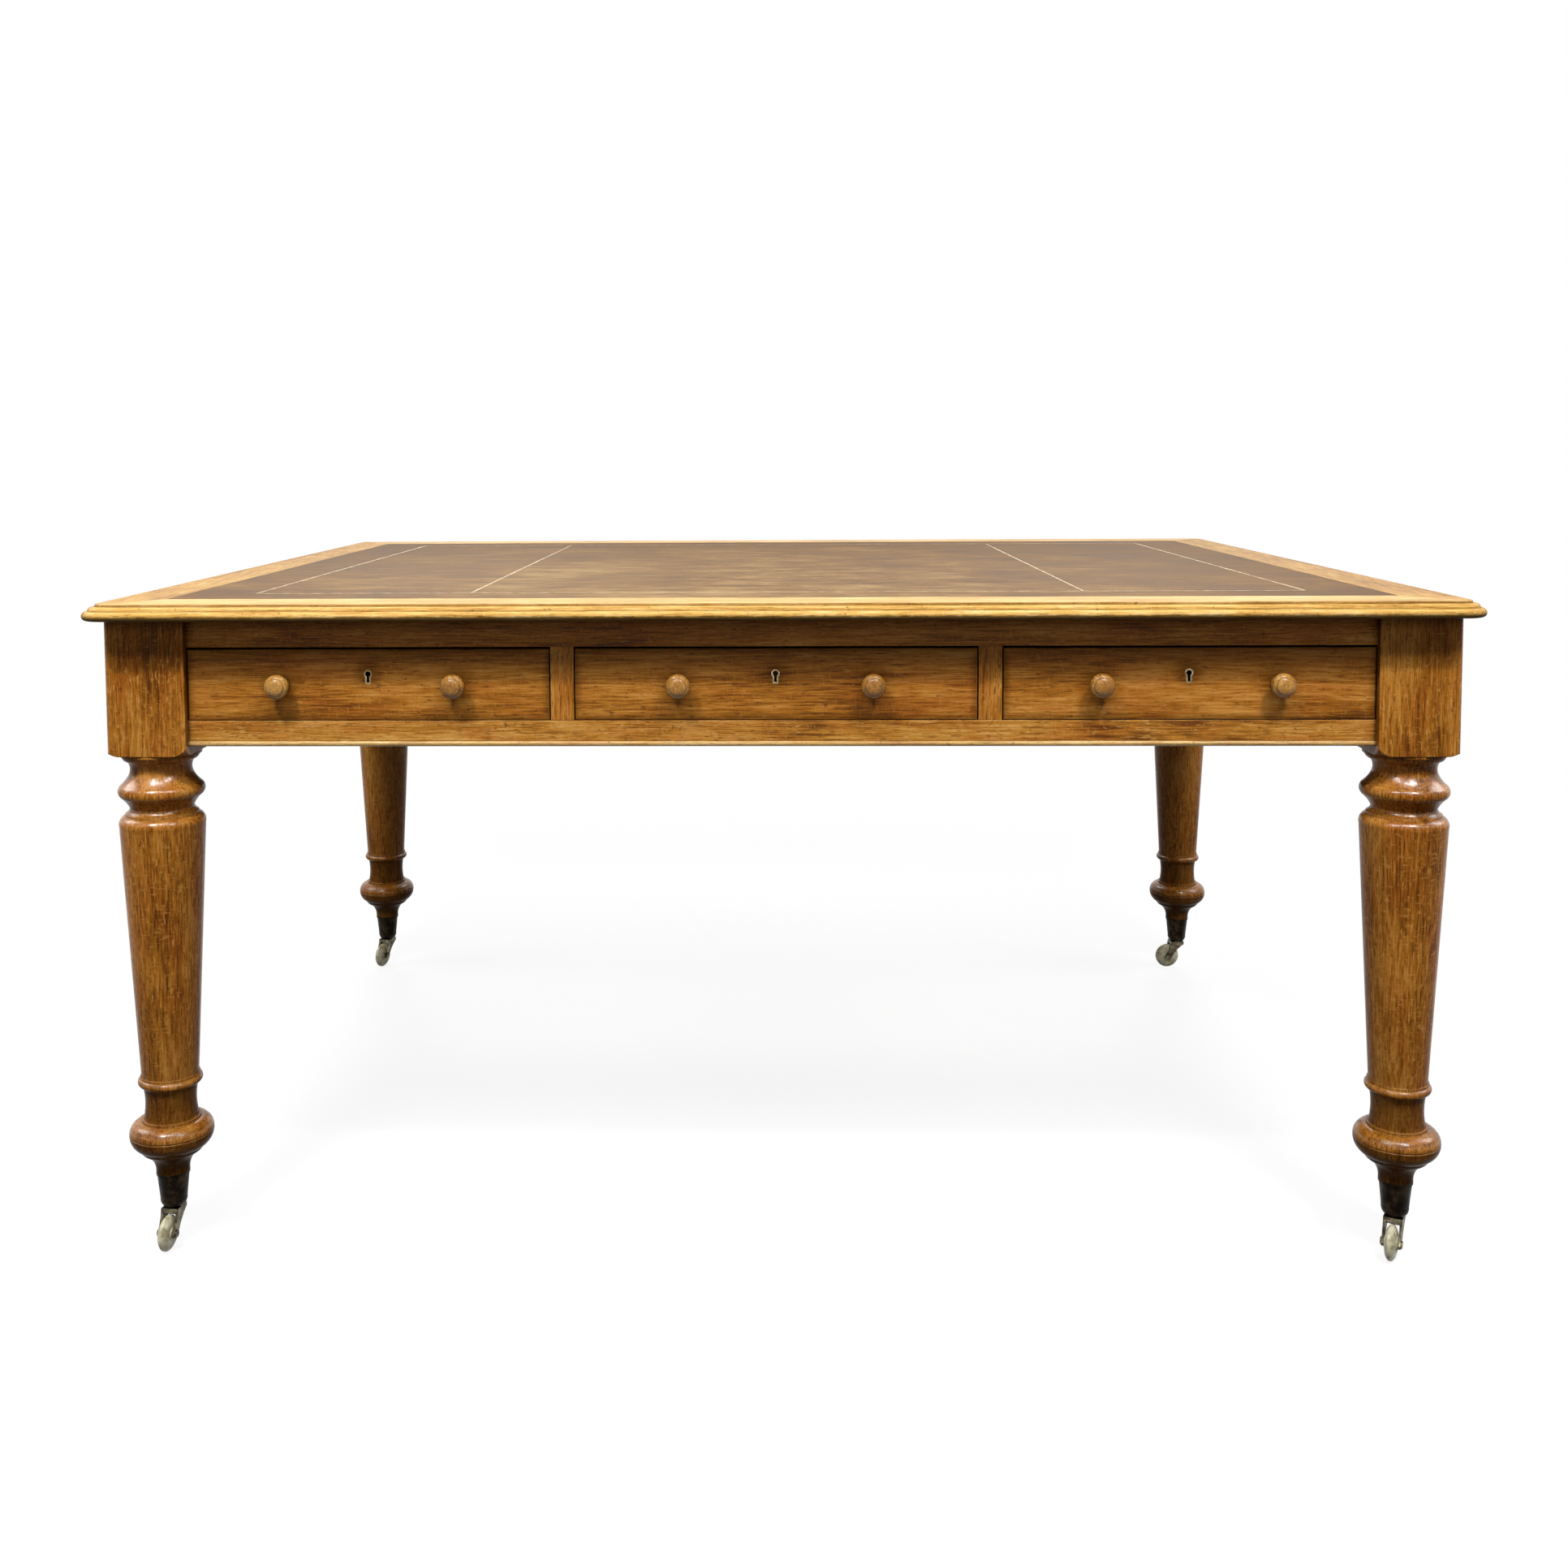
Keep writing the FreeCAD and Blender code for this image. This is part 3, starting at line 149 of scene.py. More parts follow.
# Colours of metals: tarnish, body and rubbed places
LOCK_BRASS = ("#5A4A34", "#94805E", "#BCAC8C")
FORK_BRASS = ("#221E17", "#575040", "#8C836A")
CUP_BRONZE = ("#080604", "#17110C", "#30261A")
SCREW_STEEL = ("#2A2826", "#6A6763", "#94918C")
METAL_STOPS = (0.32, 0.50, 0.68)
HOLLOW_REACH = 8 * MM
CASTING_GRIT = 1.5 * MM
GRIT_DEPTH = 0.2 * MM

# Worn gold leaf and glaze: colours from dull to clean, and the size of their spots
GOLD_LEAF = ((0.36, "#7E6442"), (0.52, "#B8A274"), (0.72, "#E2D6B4"))
GOLD_SPOT = 14 * MM
CREAM_GLAZE = ((0.34, "#8F8561"), (0.50, "#C9C19C"), (0.66, "#E4DFC6"))
GLAZE_SPOT = 9 * MM
GLAZE_IOR = 1.52

# Studio in metres: size of the floor, how far from its middle the shadow fades out, and light from all round
FLOOR_SIZE = 14
SHADOW_FADE = (0.9, 1.9)
FLOOR_BOUNCE = "#4A4844"
FLOOR_CHALK = "#707070"
FLOOR_GLOW = 0.86
WHITE = "#FFFFFF"
ROOM_LIGHT = 0.09


def linear(code):
    """Turn an sRGB hex colour into linear red, green, blue and alpha."""
    shares = [int(code[start:start + 2], 16) / 255 for start in (1, 3, 5)]
    return [s / 12.92 if s <= 0.04045 else ((s + 0.055) / 1.055) ** 2.4 for s in shares] + [1.0]


def add(tree, kind, inputs=None, stops=None, **settings):
    """Add a shader node with its settings; each input takes a link from a socket, or a value."""
    node = tree.nodes.new("ShaderNode" + kind)
    for name, value in settings.items():
        setattr(node, name, value)
    if stops:
        ramp = node.color_ramp
        ramp.elements.remove(ramp.elements[1])
        for index, (position, code) in enumerate(stops):
            stop = ramp.elements[0] if index == 0 else ramp.elements.new(position)
            stop.position = position
            stop.color = linear(code)
    for key, value in (inputs or {}).items():
        if isinstance(value, bpy.types.NodeSocket):
            tree.links.new(value, node.inputs[key])
        else:
            node.inputs[key].default_value = value
    return node


def new_material(name):
    """Start a material with a Principled shader and give back the material, its tree and the shader."""
    material = bpy.data.materials.new(name)
    material.use_nodes = True
    tree = material.node_tree
    tree.nodes.clear()
    shader = add(tree, "BsdfPrincipled")
    add(tree, "OutputMaterial", {"Surface": shader.outputs["BSDF"]})
    return material, tree, shader


def per_metre(along, across):
    """Scale of a noise whose spots are so many millimetres along and across the grain."""
    return (1 / (along * MM), 1 / (across * MM), 1 / (across * MM))


def grain_place(tree, grain, board, other=None):
    """Object coordinates with the grain along X, each board from its own place in the log.

    other is a second way of the grain and a socket that is 1 where it holds.
    """
    place = add(tree, "TexCoord").outputs["Object"]
    spot = [start + board * step for start, step in zip(LOG_START, LOG_STEP)]
    first = add(tree, "Mapping", {"Vector": place, "Rotation": ALONG[grain], "Location": spot})
    if other is None:
        return first.outputs[0]
    second = add(tree, "Mapping", {"Vector": place, "Rotation": ALONG[other[0]], "Location": spot})
    chosen = add(
        tree, "Mix", {0: other[1], 4: first.outputs[0], 5: second.outputs[0]},
        data_type="VECTOR",
    )
    return chosen.outputs[1]


def streaks(tree, place, size, detail=2.0, roughness=0.55):
    """Noise drawn out along the grain, as spots of the given length and width in millimetres."""
    drawn = add(tree, "Mapping", {"Vector": place, "Scale": per_metre(*size)})
    noise = add(
        tree, "TexNoise",
        {"Vector": drawn.outputs[0], "Scale": 1.0, "Detail": detail, "Roughness": roughness},
    )
    return noise.outputs[0]


def marked(tree, colour, level, span, strength, code, blend="MIX"):
    """Lay one colour over another as a level rises through a span; give back the colour and its share."""
    share = add(
        tree, "MapRange",
        {"Value": level, "From Min": span[0], "From Max": span[1], "To Max": strength},
    )
    mixed = add(
        tree, "Mix", {0: share.outputs[0], 6: colour, 7: linear(code)},
        data_type="RGBA", blend_type=blend,
    )
    return mixed.outputs[2], share.outputs[0]


def oak(
    parts, place, tones,
    fleck=0.5, dash=0.3, cross=0.2, russet=0.35, worn=0.4, rough=0.34, shine=WAX_SHINE, soil_and_shade=None,
):
    """Oak grain on a started material: streaks, pores, pale flecks, knocks, dirt and painted shade in
    corners, rubbed arrises.

    fleck, dash and cross say how strong the pale flecks, the dark dashes and the marks across the grain are,
    russet how red the patches are, and worn how pale the arrises are.
    rough and shine are those of the clean surface; shine may be a socket.
    soil_and_shade is a socket that says where handling has darkened the wood, and where shade is painted.
    """
    material, tree, shader = parts
    bends = add(tree, "Mapping", {"Vector": place, "Scale": per_metre(*GRAIN_BEND)})
    drift = add(tree, "TexNoise", {"Vector": bends.outputs[0], "Scale": 1.0, "Detail": 2.0})
    centred = add(tree, "VectorMath", {0: drift.outputs[1], 1: (0.5, 0.5, 0.5)}, operation="SUBTRACT")
    sway = (0, GRAIN_SWAY, GRAIN_SWAY)
    moved = add(tree, "VectorMath", {0: centred.outputs[0], 1: sway, 2: place}, operation="MULTIPLY_ADD")
    grain = moved.outputs[0]
    # Body colour: golden and russet patches, each streaked along the grain
    patches = streaks(tree, place, PATCH, detail=3.0)
    fine = streaks(tree, grain, FINE_STREAK, detail=3.0, roughness=0.6)
    broad = streaks(tree, grain, BROAD_STREAK)
    summed = add(tree, "Math", {0: broad, 1: BROAD_SHARE, 2: fine}, operation="MULTIPLY_ADD")
    tone = add(tree, "Math", {0: patches, 1: PATCH_SHARE, 2: summed.outputs[0]}, operation="MULTIPLY_ADD")
    mean = add(tree, "Math", {0: tone.outputs[0], 1: 0.5}, operation="MULTIPLY")
    body = add(tree, "ValToRGB", {0: mean.outputs[0]}, stops=zip(OAK_STOPS, tones))
    hue = streaks(tree, place, RED_PATCH)
    colour, _ = marked(
        tree, body.outputs[0], hue,
        span=(0.46, 0.66), strength=russet, code=RUSSET, blend="MULTIPLY",
    )
    # Pores are about a third of a millimetre wide; they are drawn over four times as coarse so that they show
    pore_noise = streaks(tree, grain, PORE, detail=1.0)
    colour, pores = marked(tree, colour, pore_noise, span=(0.60, 0.72), strength=0.70, code=tones[0])
    # Pale flecks, short pale marks where rays are cut across, dark dashes of summer wood, and knocks
    marks = (
        (streaks(tree, grain, FLECK, detail=1.5, roughness=0.7), (0.60, 0.72), fleck, tones[2]),
        (streaks(tree, place, RAY_MARK, detail=1.0), (0.60, 0.70), cross, tones[2]),
        (streaks(tree, grain, DASH, roughness=0.6), (0.56, 0.68), dash, tones[0]),
        (streaks(tree, place, KNOCK, roughness=0.7), (0.66, 0.74), 0.65, BRUISE),
    )
    for noise, span, strength, code in marks:
        colour, _ = marked(tree, colour, noise, span, strength, code)
    # Dirt and old wax in the corners, with painted shade there too, and where hands or feet have soiled the
    # wood or shade is painted on it
    open_air = add(tree, "AmbientOcclusion", {"Distance": DIRT_AND_SHADE_REACH}, samples=8)
    dirt_and_shade = add(
        tree, "MapRange",
        {"Value": open_air.outputs["AO"], "From Min": 0.28, "From Max": 0.88, "To Min": 0.86, "To Max": 0.0},
    )
    stain_and_shade = dirt_and_shade.outputs[0]
    if soil_and_shade is not None:
        stain_and_shade = add(tree, "Math", {0: stain_and_shade, 1: soil_and_shade}, operation="MAXIMUM").outputs[0]
    grimy_and_shaded = add(tree, "Mix", {0: stain_and_shade, 6: colour, 7: linear(GRIME_AND_SHADE)}, data_type="RGBA")
    # Arrises are rubbed pale here and there
    facing = add(tree, "NewGeometry")
    eased = add(tree, "Bevel", {"Radius": ARRIS}, samples=4)
    agree = add(
        tree, "VectorMath", {0: eased.outputs[0], 1: facing.outputs["Normal"]},
        operation="DOT_PRODUCT",
    )
    rubbed = add(tree, "MapRange", {"Value": agree.outputs["Value"], "From Min": 0.995, "From Max": 0.88})
    rub_noise = streaks(tree, place, RUBBED_STRETCH, detail=3.0)
    rub_share = add(
        tree, "MapRange",
        {"Value": rub_noise, "From Min": 0.42, "From Max": 0.62, "To Max": worn},
    )
    wear = add(tree, "Math", {0: rubbed.outputs[0], 1: rub_share.outputs[0]}, operation="MULTIPLY")
    finished = add(
        tree, "Mix", {0: wear.outputs[0], 6: grimy_and_shaded.outputs[2], 7: linear(tones[2])},
        data_type="RGBA",
    )
    tree.links.new(finished.outputs[2], shader.inputs["Base Color"])
    polish = add(
        tree, "MapRange",
        {"Value": fine, "From Min": 0.3, "From Max": 0.7, "To Min": rough + 0.10, "To Max": rough},
    )
    tree.links.new(polish.outputs[0], shader.inputs["Roughness"])
    relief = add(tree, "Math", {0: pores, 1: -1.2, 2: fine}, operation="MULTIPLY_ADD")
    bump = add(
        tree, "Bump",
        {"Strength": 0.18, "Distance": GRAIN_DEPTH, "Height": relief.outputs[0], "Normal": eased.outputs[0]},
    )
    tree.links.new(bump.outputs[0], shader.inputs["Normal"])
    # Dirt and painted shade are matt
    clean = add(tree, "MapRange", {"Value": stain_and_shade, "To Min": shine, "To Max": 0.0})
    tree.links.new(clean.outputs[0], shader.inputs["Specular IOR Level"])
    return material


def waxed_oak(name, grain, board, tones=FRAME_OAK, **finish):
    """Old oak under many coats of wax: golden brown, streaky, with a soft shine and dark corners."""
    parts = new_material(name)
    return oak(parts, grain_place(parts[1], grain, board), tones, **finish)


def leg_oak(name, board):
    """Waxed oak of the legs, turned from the log: brooms and shoes have darkened the ankle and the foot, and
    shade is painted under the bulb, in its groove and round the ankle.
    """
    parts = new_material(name)
    tree = parts[1]
    place = add(tree, "SeparateXYZ", {0: add(tree, "TexCoord").outputs["Object"]})
    # Dirt and painted shade by height up the leg
    share = add(tree, "Math", {0: place.outputs["Z"], 1: SOIL_AND_SHADE_HEIGHT}, operation="DIVIDE")
    foot = add(tree, "ValToRGB", {0: share.outputs[0]}, stops=LEG_SOIL_AND_SHADE)
    # Dusting has polished the faces of the mouldings that look up
    facing = add(tree, "SeparateXYZ", {0: add(tree, "TexCoord").outputs["Normal"]})
    dusted = add(
        tree, "MapRange",
        {"Value": facing.outputs["Z"], "From Min": 0.2, "From Max": 0.5, "To Min": 0.06, "To Max": 0.6},
    )
    return oak(
        parts, grain_place(tree, "Z", board), FRAME_OAK,
        fleck=0.7, dash=0.42, cross=0.4, rough=0.17, shine=dusted.outputs[0], soil_and_shade=foot.outputs[0],
    )


def drawer_oak(drawer, board):
    """Waxed oak of one drawer front: dark round its edges, and where hands have reached for knobs and key."""
    parts = new_material("waxed_oak_" + drawer)
    tree = parts[1]
    place = add(tree, "TexCoord").outputs["Object"]
    low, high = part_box(drawer + "_front")
    middle = (low + high) / 2
    half = (high - low) / 2
    offset = add(tree, "VectorMath", {0: place, 1: middle}, operation="SUBTRACT")
    reach = add(tree, "VectorMath", {0: offset.outputs[0]}, operation="ABSOLUTE")
    inward = add(tree, "VectorMath", {0: half, 1: reach.outputs[0]}, operation="SUBTRACT")
    edge = add(tree, "SeparateXYZ", {0: inward.outputs[0]})
    near = add(tree, "Math", {0: edge.outputs["X"], 1: edge.outputs["Z"]}, operation="MINIMUM")
    # Dirt and painted shade along the edges of the front, where it meets the frame
    span = {"From Min": 0.0, "From Max": EDGE_DIRT_AND_SHADE, "To Min": 0.55, "To Max": 0.0}
    rim = add(tree, "MapRange", {"Value": near.outputs[0], **span})
    soil_and_shade = rim.outputs[0]
    knob_low, knob_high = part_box(drawer + "_knobs")
    knob_half = (knob_high.z - knob_low.z) / 2
    # Places that hands reach for, with the reach and the depth of their dirt
    spots = [
        (Vector((knob_low.x + knob_half, middle.y, middle.z)), KNOB_REACH * knob_half, 0.40),
        (Vector((knob_high.x - knob_half, middle.y, middle.z)), KNOB_REACH * knob_half, 0.40),
        (Vector((middle.x, middle.y, middle.z + KEYHOLE_RISE)), KEY_REACH, 0.45),
    ]
    for spot, radius, depth in spots:
        away = add(tree, "VectorMath", {0: place, 1: spot}, operation="DISTANCE")
        span = {"From Min": HAND_NEAR, "From Max": radius, "To Min": depth, "To Max": 0.0}
        hand = add(tree, "MapRange", {"Value": away.outputs["Value"], **span})
        soil_and_shade = add(tree, "Math", {0: soil_and_shade, 1: hand.outputs[0]}, operation="MAXIMUM").outputs[0]
    return oak(parts, grain_place(tree, "X", board), FRAME_OAK, fleck=0.35, dash=0.12, soil_and_shade=soil_and_shade)


def bead_oak(name, board):
    """Waxed oak of the beads: the grain follows each bead, so it turns on the two ends of the desk."""
    parts = new_material(name)
    tree = parts[1]
    place = add(tree, "SeparateXYZ", {0: add(tree, "TexCoord").outputs["Object"]})
    reach = add(tree, "Math", {0: place.outputs["X"]}, operation="ABSOLUTE")
    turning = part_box("apron_beads")[1].x - BEAD_END
    at_end = add(tree, "Math", {0: reach.outputs[0], 1: turning}, operation="GREATER_THAN")
    spot = grain_place(tree, "X", board, other=("Y", at_end.outputs[0]))
    return oak(parts, spot, TOP_OAK, fleck=0.2, worn=0.8, rough=0.24, shine=0.4)


def border_oak(name, grain, board, tones, shine):
    """Honey oak of the border boards: pale and rubbed by sleeves on top, with painted shade under the nose of
    the edge.
    """
    parts = new_material(name)
    tree = parts[1]
    place = add(tree, "TexCoord").outputs["Object"]
    # Painted shade under the nose of the top, with a wandering edge
    wander = add(tree, "TexNoise", {"Vector": place, "Scale": 1 / SHADE_SPOT, "Detail": 4.0, "Roughness": 0.7})
    level = add(tree, "SeparateXYZ", {0: place})
    lifted = add(
        tree, "Math", {0: wander.outputs[0], 1: SHADE_WANDER, 2: level.outputs["Z"]},
        operation="MULTIPLY_ADD",
    )
    above = NOSE_TURN + SHADE_WANDER / 2
    span = {"From Min": above - SHADE_FADE, "From Max": above + SHADE_FADE, "To Min": 0.72, "To Max": 0.0}
    under = add(tree, "MapRange", {"Value": lifted.outputs[0], **span})
    return oak(
        parts, grain_place(tree, grain, board), tones,
        fleck=0.25, dash=0.12, russet=0.1, worn=0.6, rough=0.28, shine=shine, soil_and_shade=under.outputs[0],
    )


def box_oak(name, board, tones, rough):
    """Plain oak of boxes and linings, sanded, never waxed: the grain runs back, and across on the backs."""
    parts = new_material(name)
    tree = parts[1]
    facing = add(tree, "SeparateXYZ", {0: add(tree, "TexCoord").outputs["Normal"]})
    turned = add(tree, "Math", {0: facing.outputs["Y"]}, operation="ABSOLUTE")
    across = add(tree, "Math", {0: turned.outputs[0], 1: 0.5}, operation="GREATER_THAN")
    spot = grain_place(tree, "Y", board, other=("X", across.outputs[0]))
    return oak(parts, spot, tones, fleck=0.2, worn=0.2, rough=rough)


def worn_hide():
    """Cowhide, dyed brown and skived flush: fine pebble, cloudy wear, long rub marks and a low shine."""
    material, tree, shader = new_material("worn_brown_hide")
    place = add(tree, "TexCoord").outputs["Object"]
    clouds = add(tree, "TexNoise", {"Vector": place, "Scale": 1 / CLOUD, "Detail": 4.0, "Roughness": 0.6})
    rubs = streaks(tree, place, HIDE_RUB, detail=7.0, roughness=0.82)
    clouded = add(tree, "Math", {0: clouds.outputs[0], 1: 0.45, 2: -0.22}, operation="MULTIPLY_ADD")
    tone = add(tree, "Math", {0: rubs, 1: clouded.outputs[0]}, operation="ADD")
    dye = add(tree, "ValToRGB", {0: tone.outputs[0]}, stops=HIDE_DYE)
    scuffs = add(tree, "TexNoise", {"Vector": place, "Scale": 1 / SCUFF, "Detail": 5.0, "Roughness": 0.75})
    colour, _ = marked(
        tree, dye.outputs[0], scuffs.outputs[0],
        span=(0.58, 0.72), strength=0.3, code=SCUFFED_HIDE,
    )
    scratches = streaks(tree, place, SCRATCH)
    colour, _ = marked(tree, colour, scratches, span=(0.60, 0.70), strength=0.4, code=SCRATCHED_HIDE)
    # Sleeves have worn the dye where people sit; round that spot the hide is painted lighter as a pool of
    # light, and darker towards the far edges as painted shade
    worn_and_lit_middle = (WORN_AND_LIT_SPOT[0], WORN_AND_LIT_SPOT[1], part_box("writing_leather")[1].z)
    away = add(tree, "VectorMath", {0: place, 1: worn_and_lit_middle}, operation="DISTANCE")
    colour, _ = marked(
        tree, colour, away.outputs["Value"],
        span=WORN_AND_LIT_REACH, strength=0.75, code=KEPT_DYE_AND_SHADE, blend="MULTIPLY",
    )
    tree.links.new(colour, shader.inputs["Base Color"])
    shine = add(
        tree, "MapRange",
        {"Value": tone.outputs[0], "From Min": 0.3, "From Max": 0.7, "To Min": 0.50, "To Max": 0.66},
    )
    tree.links.new(shine.outputs[0], shader.inputs["Roughness"])
    # The pebble of hide is about half a millimetre; it is drawn four times as coarse so that it shows
    pebble = add(tree, "TexVoronoi", {"Vector": place, "Scale": 1 / PEBBLE}, feature="F1")
    relief = add(tree, "Math", {0: rubs, 1: 3.0, 2: pebble.outputs["Distance"]}, operation="MULTIPLY_ADD")
    bump = add(tree, "Bump", {"Strength": 0.22, "Distance": PEBBLE_DEPTH, "Height": relief.outputs[0]})
    tree.links.new(bump.outputs[0], shader.inputs["Normal"])
    # Rubbed nap catches light at a low angle
    shader.inputs["Sheen Weight"].default_value = 0.24
    shader.inputs["Sheen Roughness"].default_value = 0.4
    shader.inputs["Sheen Tint"].default_value = linear(HIDE_NAP)
    shader.inputs["Specular IOR Level"].default_value = 0.09
    return material


def gold_leaf():
    """Gold leaf pressed into the hide with a hot wheel: pale, broken where hands have worn it away."""
    material, tree, shader = new_material("worn_gold_leaf")
    place = add(tree, "TexCoord").outputs["Object"]
    noise = add(tree, "TexNoise", {"Vector": place, "Scale": 1 / GOLD_SPOT, "Detail": 3.0, "Roughness": 0.6})
    colour = add(tree, "ValToRGB", {0: noise.outputs[0]}, stops=GOLD_LEAF)
    tree.links.new(colour.outputs[0], shader.inputs["Base Color"])
    shader.inputs["Metallic"].default_value = 0.35
    shader.inputs["Roughness"].default_value = 0.42
    return material


def cast_metal(name, codes, rough, spot, shade=0.7):
    """Cast metal, filed and handled: cloudy tarnish, a broken shine, and tarnish with painted shade in the
    hollows, as dark as shade says.
    """
    material, tree, shader = new_material(name)
    place = add(tree, "TexCoord").outputs["Object"]
    noise = add(tree, "TexNoise", {"Vector": place, "Scale": 1 / spot, "Detail": 4.0, "Roughness": 0.65})
    tarnish = add(tree, "ValToRGB", {0: noise.outputs[0]}, stops=zip(METAL_STOPS, codes))
    # Tarnish and painted shade in the hollows
    open_air = add(tree, "AmbientOcclusion", {"Distance": HOLLOW_REACH}, samples=8)
    span = {"From Min": 0.3, "From Max": 0.85, "To Min": shade, "To Max": 0.0}
    hollow = add(tree, "MapRange", {"Value": open_air.outputs["AO"], **span})
    dulled_and_shaded = add(
        tree, "Mix", {0: hollow.outputs[0], 6: tarnish.outputs[0], 7: linear(GRIME_AND_SHADE)},
        data_type="RGBA",
    )
    tree.links.new(dulled_and_shaded.outputs[2], shader.inputs["Base Color"])
    span = {"From Min": 0.3, "From Max": 0.7, "To Min": rough + 0.12, "To Max": rough}
    polish = add(tree, "MapRange", {"Value": noise.outputs[0], **span})
    tree.links.new(polish.outputs[0], shader.inputs["Roughness"])
    grit = add(tree, "TexNoise", {"Vector": place, "Scale": 1 / CASTING_GRIT, "Detail": 2.0})
    bump = add(tree, "Bump", {"Strength": 0.15, "Distance": GRIT_DEPTH, "Height": grit.outputs[0]})
    tree.links.new(bump.outputs[0], shader.inputs["Normal"])
    shader.inputs["Metallic"].default_value = 1.0
    return material


def cream_glaze():
    """Earthenware under a cream glaze: glossy, stained where it has rolled."""
    material, tree, shader = new_material("cream_glazed_earthenware")
    place = add(tree, "TexCoord").outputs["Object"]
    noise = add(tree, "TexNoise", {"Vector": place, "Scale": 1 / GLAZE_SPOT, "Detail": 4.0, "Roughness": 0.6})
    colour = add(tree, "ValToRGB", {0: noise.outputs[0]}, stops=CREAM_GLAZE)
    tree.links.new(colour.outputs[0], shader.inputs["Base Color"])
    shine = add(
        tree, "MapRange",
        {"Value": noise.outputs[0], "From Min": 0.3, "From Max": 0.7, "To Min": 0.45, "To Max": 0.18},
    )
    tree.links.new(shine.outputs[0], shader.inputs["Roughness"])
    shader.inputs["IOR"].default_value = GLAZE_IOR
    return material


def paint(names, material):
    """Give these CAD nodes one material all over."""
    for name in names:
        mesh = nodes[name].data
        mesh.materials.clear()
        mesh.materials.append(material)


def named(start="", end=""):
    """Names of the CAD nodes that start and end so."""
    return [name for name in nodes if name.startswith(start) and name.endswith(end)]


def paint_desk():
    """Finish of every piece that comes from the frame."""
    paint(named("leg_"), leg_oak("waxed_oak_legs", 1))
    paint(("front_top_rail", "back_top_rail"), waxed_oak("waxed_oak_top_rails", "X", 2))
    paint(("front_lower_rail", "back_lower_rail"), waxed_oak("waxed_oak_lower_rails", "X", 3, RAIL_OAK))
    paint(("end_aprons",), waxed_oak("waxed_oak_aprons", "Y", 4))
    paint(("drawer_dividers",), waxed_oak("waxed_oak_dividers", "Z", 5, fleck=0.7))
    paint(("apron_beads",), bead_oak("waxed_oak_beads", 6))
    handled = dict(fleck=0.1, dash=0.05, cross=0.0, russet=0.1, worn=0.6, rough=0.24, shine=0.4)
    paint(named(end="_drawer_knobs"), waxed_oak("polished_oak_knobs", "Y", 8, KNOB_OAK, **handled))
    paint(("top_border_long_boards",), border_oak("honey_oak_long_border", "X", 9, TOP_OAK, shine=0.06))
    paint(("top_border_end_boards",), border_oak("honey_oak_end_border", "Y", 10, END_OAK, shine=0.04))
    for board, front in enumerate(named(end="_drawer_front"), start=13):
        paint((front,), drawer_oak(front.removesuffix("_front"), board))
    carriage = ["centre_rail", "top_panel"]
    carriage += ["drawer_runners", "drawer_guides", "drawer_kickers", "drawer_stops"]
    paint(carriage, box_oak("raw_oak_carriage", 11, RAW_OAK, rough=0.7))
    paint(named(end="_drawer_box"), box_oak("sanded_oak_linings", 12, LINING_OAK, rough=0.6))
    paint(("writing_leather",), worn_hide())
    brass = cast_metal("dulled_brass", LOCK_BRASS, rough=0.34, spot=6 * MM, shade=1.0)
    paint(named(end="_drawer_lock") + named(end="_drawer_bolt"), brass)
    paint(named("castor_", "_fork"), cast_metal("greyed_brass", FORK_BRASS, rough=0.36, spot=9 * MM))
    paint(("castor_cups",), cast_metal("black_bronze", CUP_BRONZE, rough=0.42, spot=12 * MM))
    paint(named("castor_", "_wheel"), cream_glaze())
    paint(("top_screws",), cast_metal("screw_steel", SCREW_STEEL, rough=0.38, spot=4 * MM))


def gilt_tooling():
    """Gilt rectangle with two cross lines, standing a hair proud of the leather."""
    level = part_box("writing_leather")[1].z
    bpy.ops.object.select_all(action="DESELECT")
    bpy.ops.mesh.primitive_plane_add(size=2, location=(0, 0, 0))
    lines = bpy.context.object
    lines.name = "gilt_tooling"
    bpy.ops.object.mode_set(mode="EDIT")
    bpy.ops.mesh.select_all(action="SELECT")
    bpy.ops.transform.resize(value=(GILT_HALF_LENGTH, GILT_HALF_WIDTH, 1))
    bpy.ops.mesh.inset(thickness=GILT_LINE)
    bpy.ops.mesh.delete(type="FACE")
    for side in (-1, 1):
        bpy.ops.mesh.primitive_plane_add(size=2, location=(side * GILT_CROSS, 0, 0))
        bpy.ops.transform.resize(value=(GILT_LINE / 2, GILT_HALF_WIDTH - GILT_LINE, 1))
    bpy.ops.mesh.select_all(action="SELECT")
    bpy.ops.transform.translate(value=(0, 0, level))
    bpy.ops.mesh.extrude_region_move(TRANSFORM_OT_translate={"value": (0, 0, GILT_RISE)})
    bpy.ops.mesh.select_all(action="SELECT")
    bpy.ops.mesh.normals_make_consistent(inside=False)
    bpy.ops.object.mode_set(mode="OBJECT")
    lines.data.materials.append(gold_leaf())
    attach(lines, "frame")


def sees_white(tree):
    """Socket that is 1 for what the camera, reflections and glass see, and 0 for light on the desk."""
    ray = add(tree, "LightPath")
    seen = ray.outputs["Is Camera Ray"]
    for way in ("Is Glossy Ray", "Is Transmission Ray"):
        seen = add(tree, "Math", {0: seen, 1: ray.outputs[way]}, operation="MAXIMUM").outputs[0]
    return seen


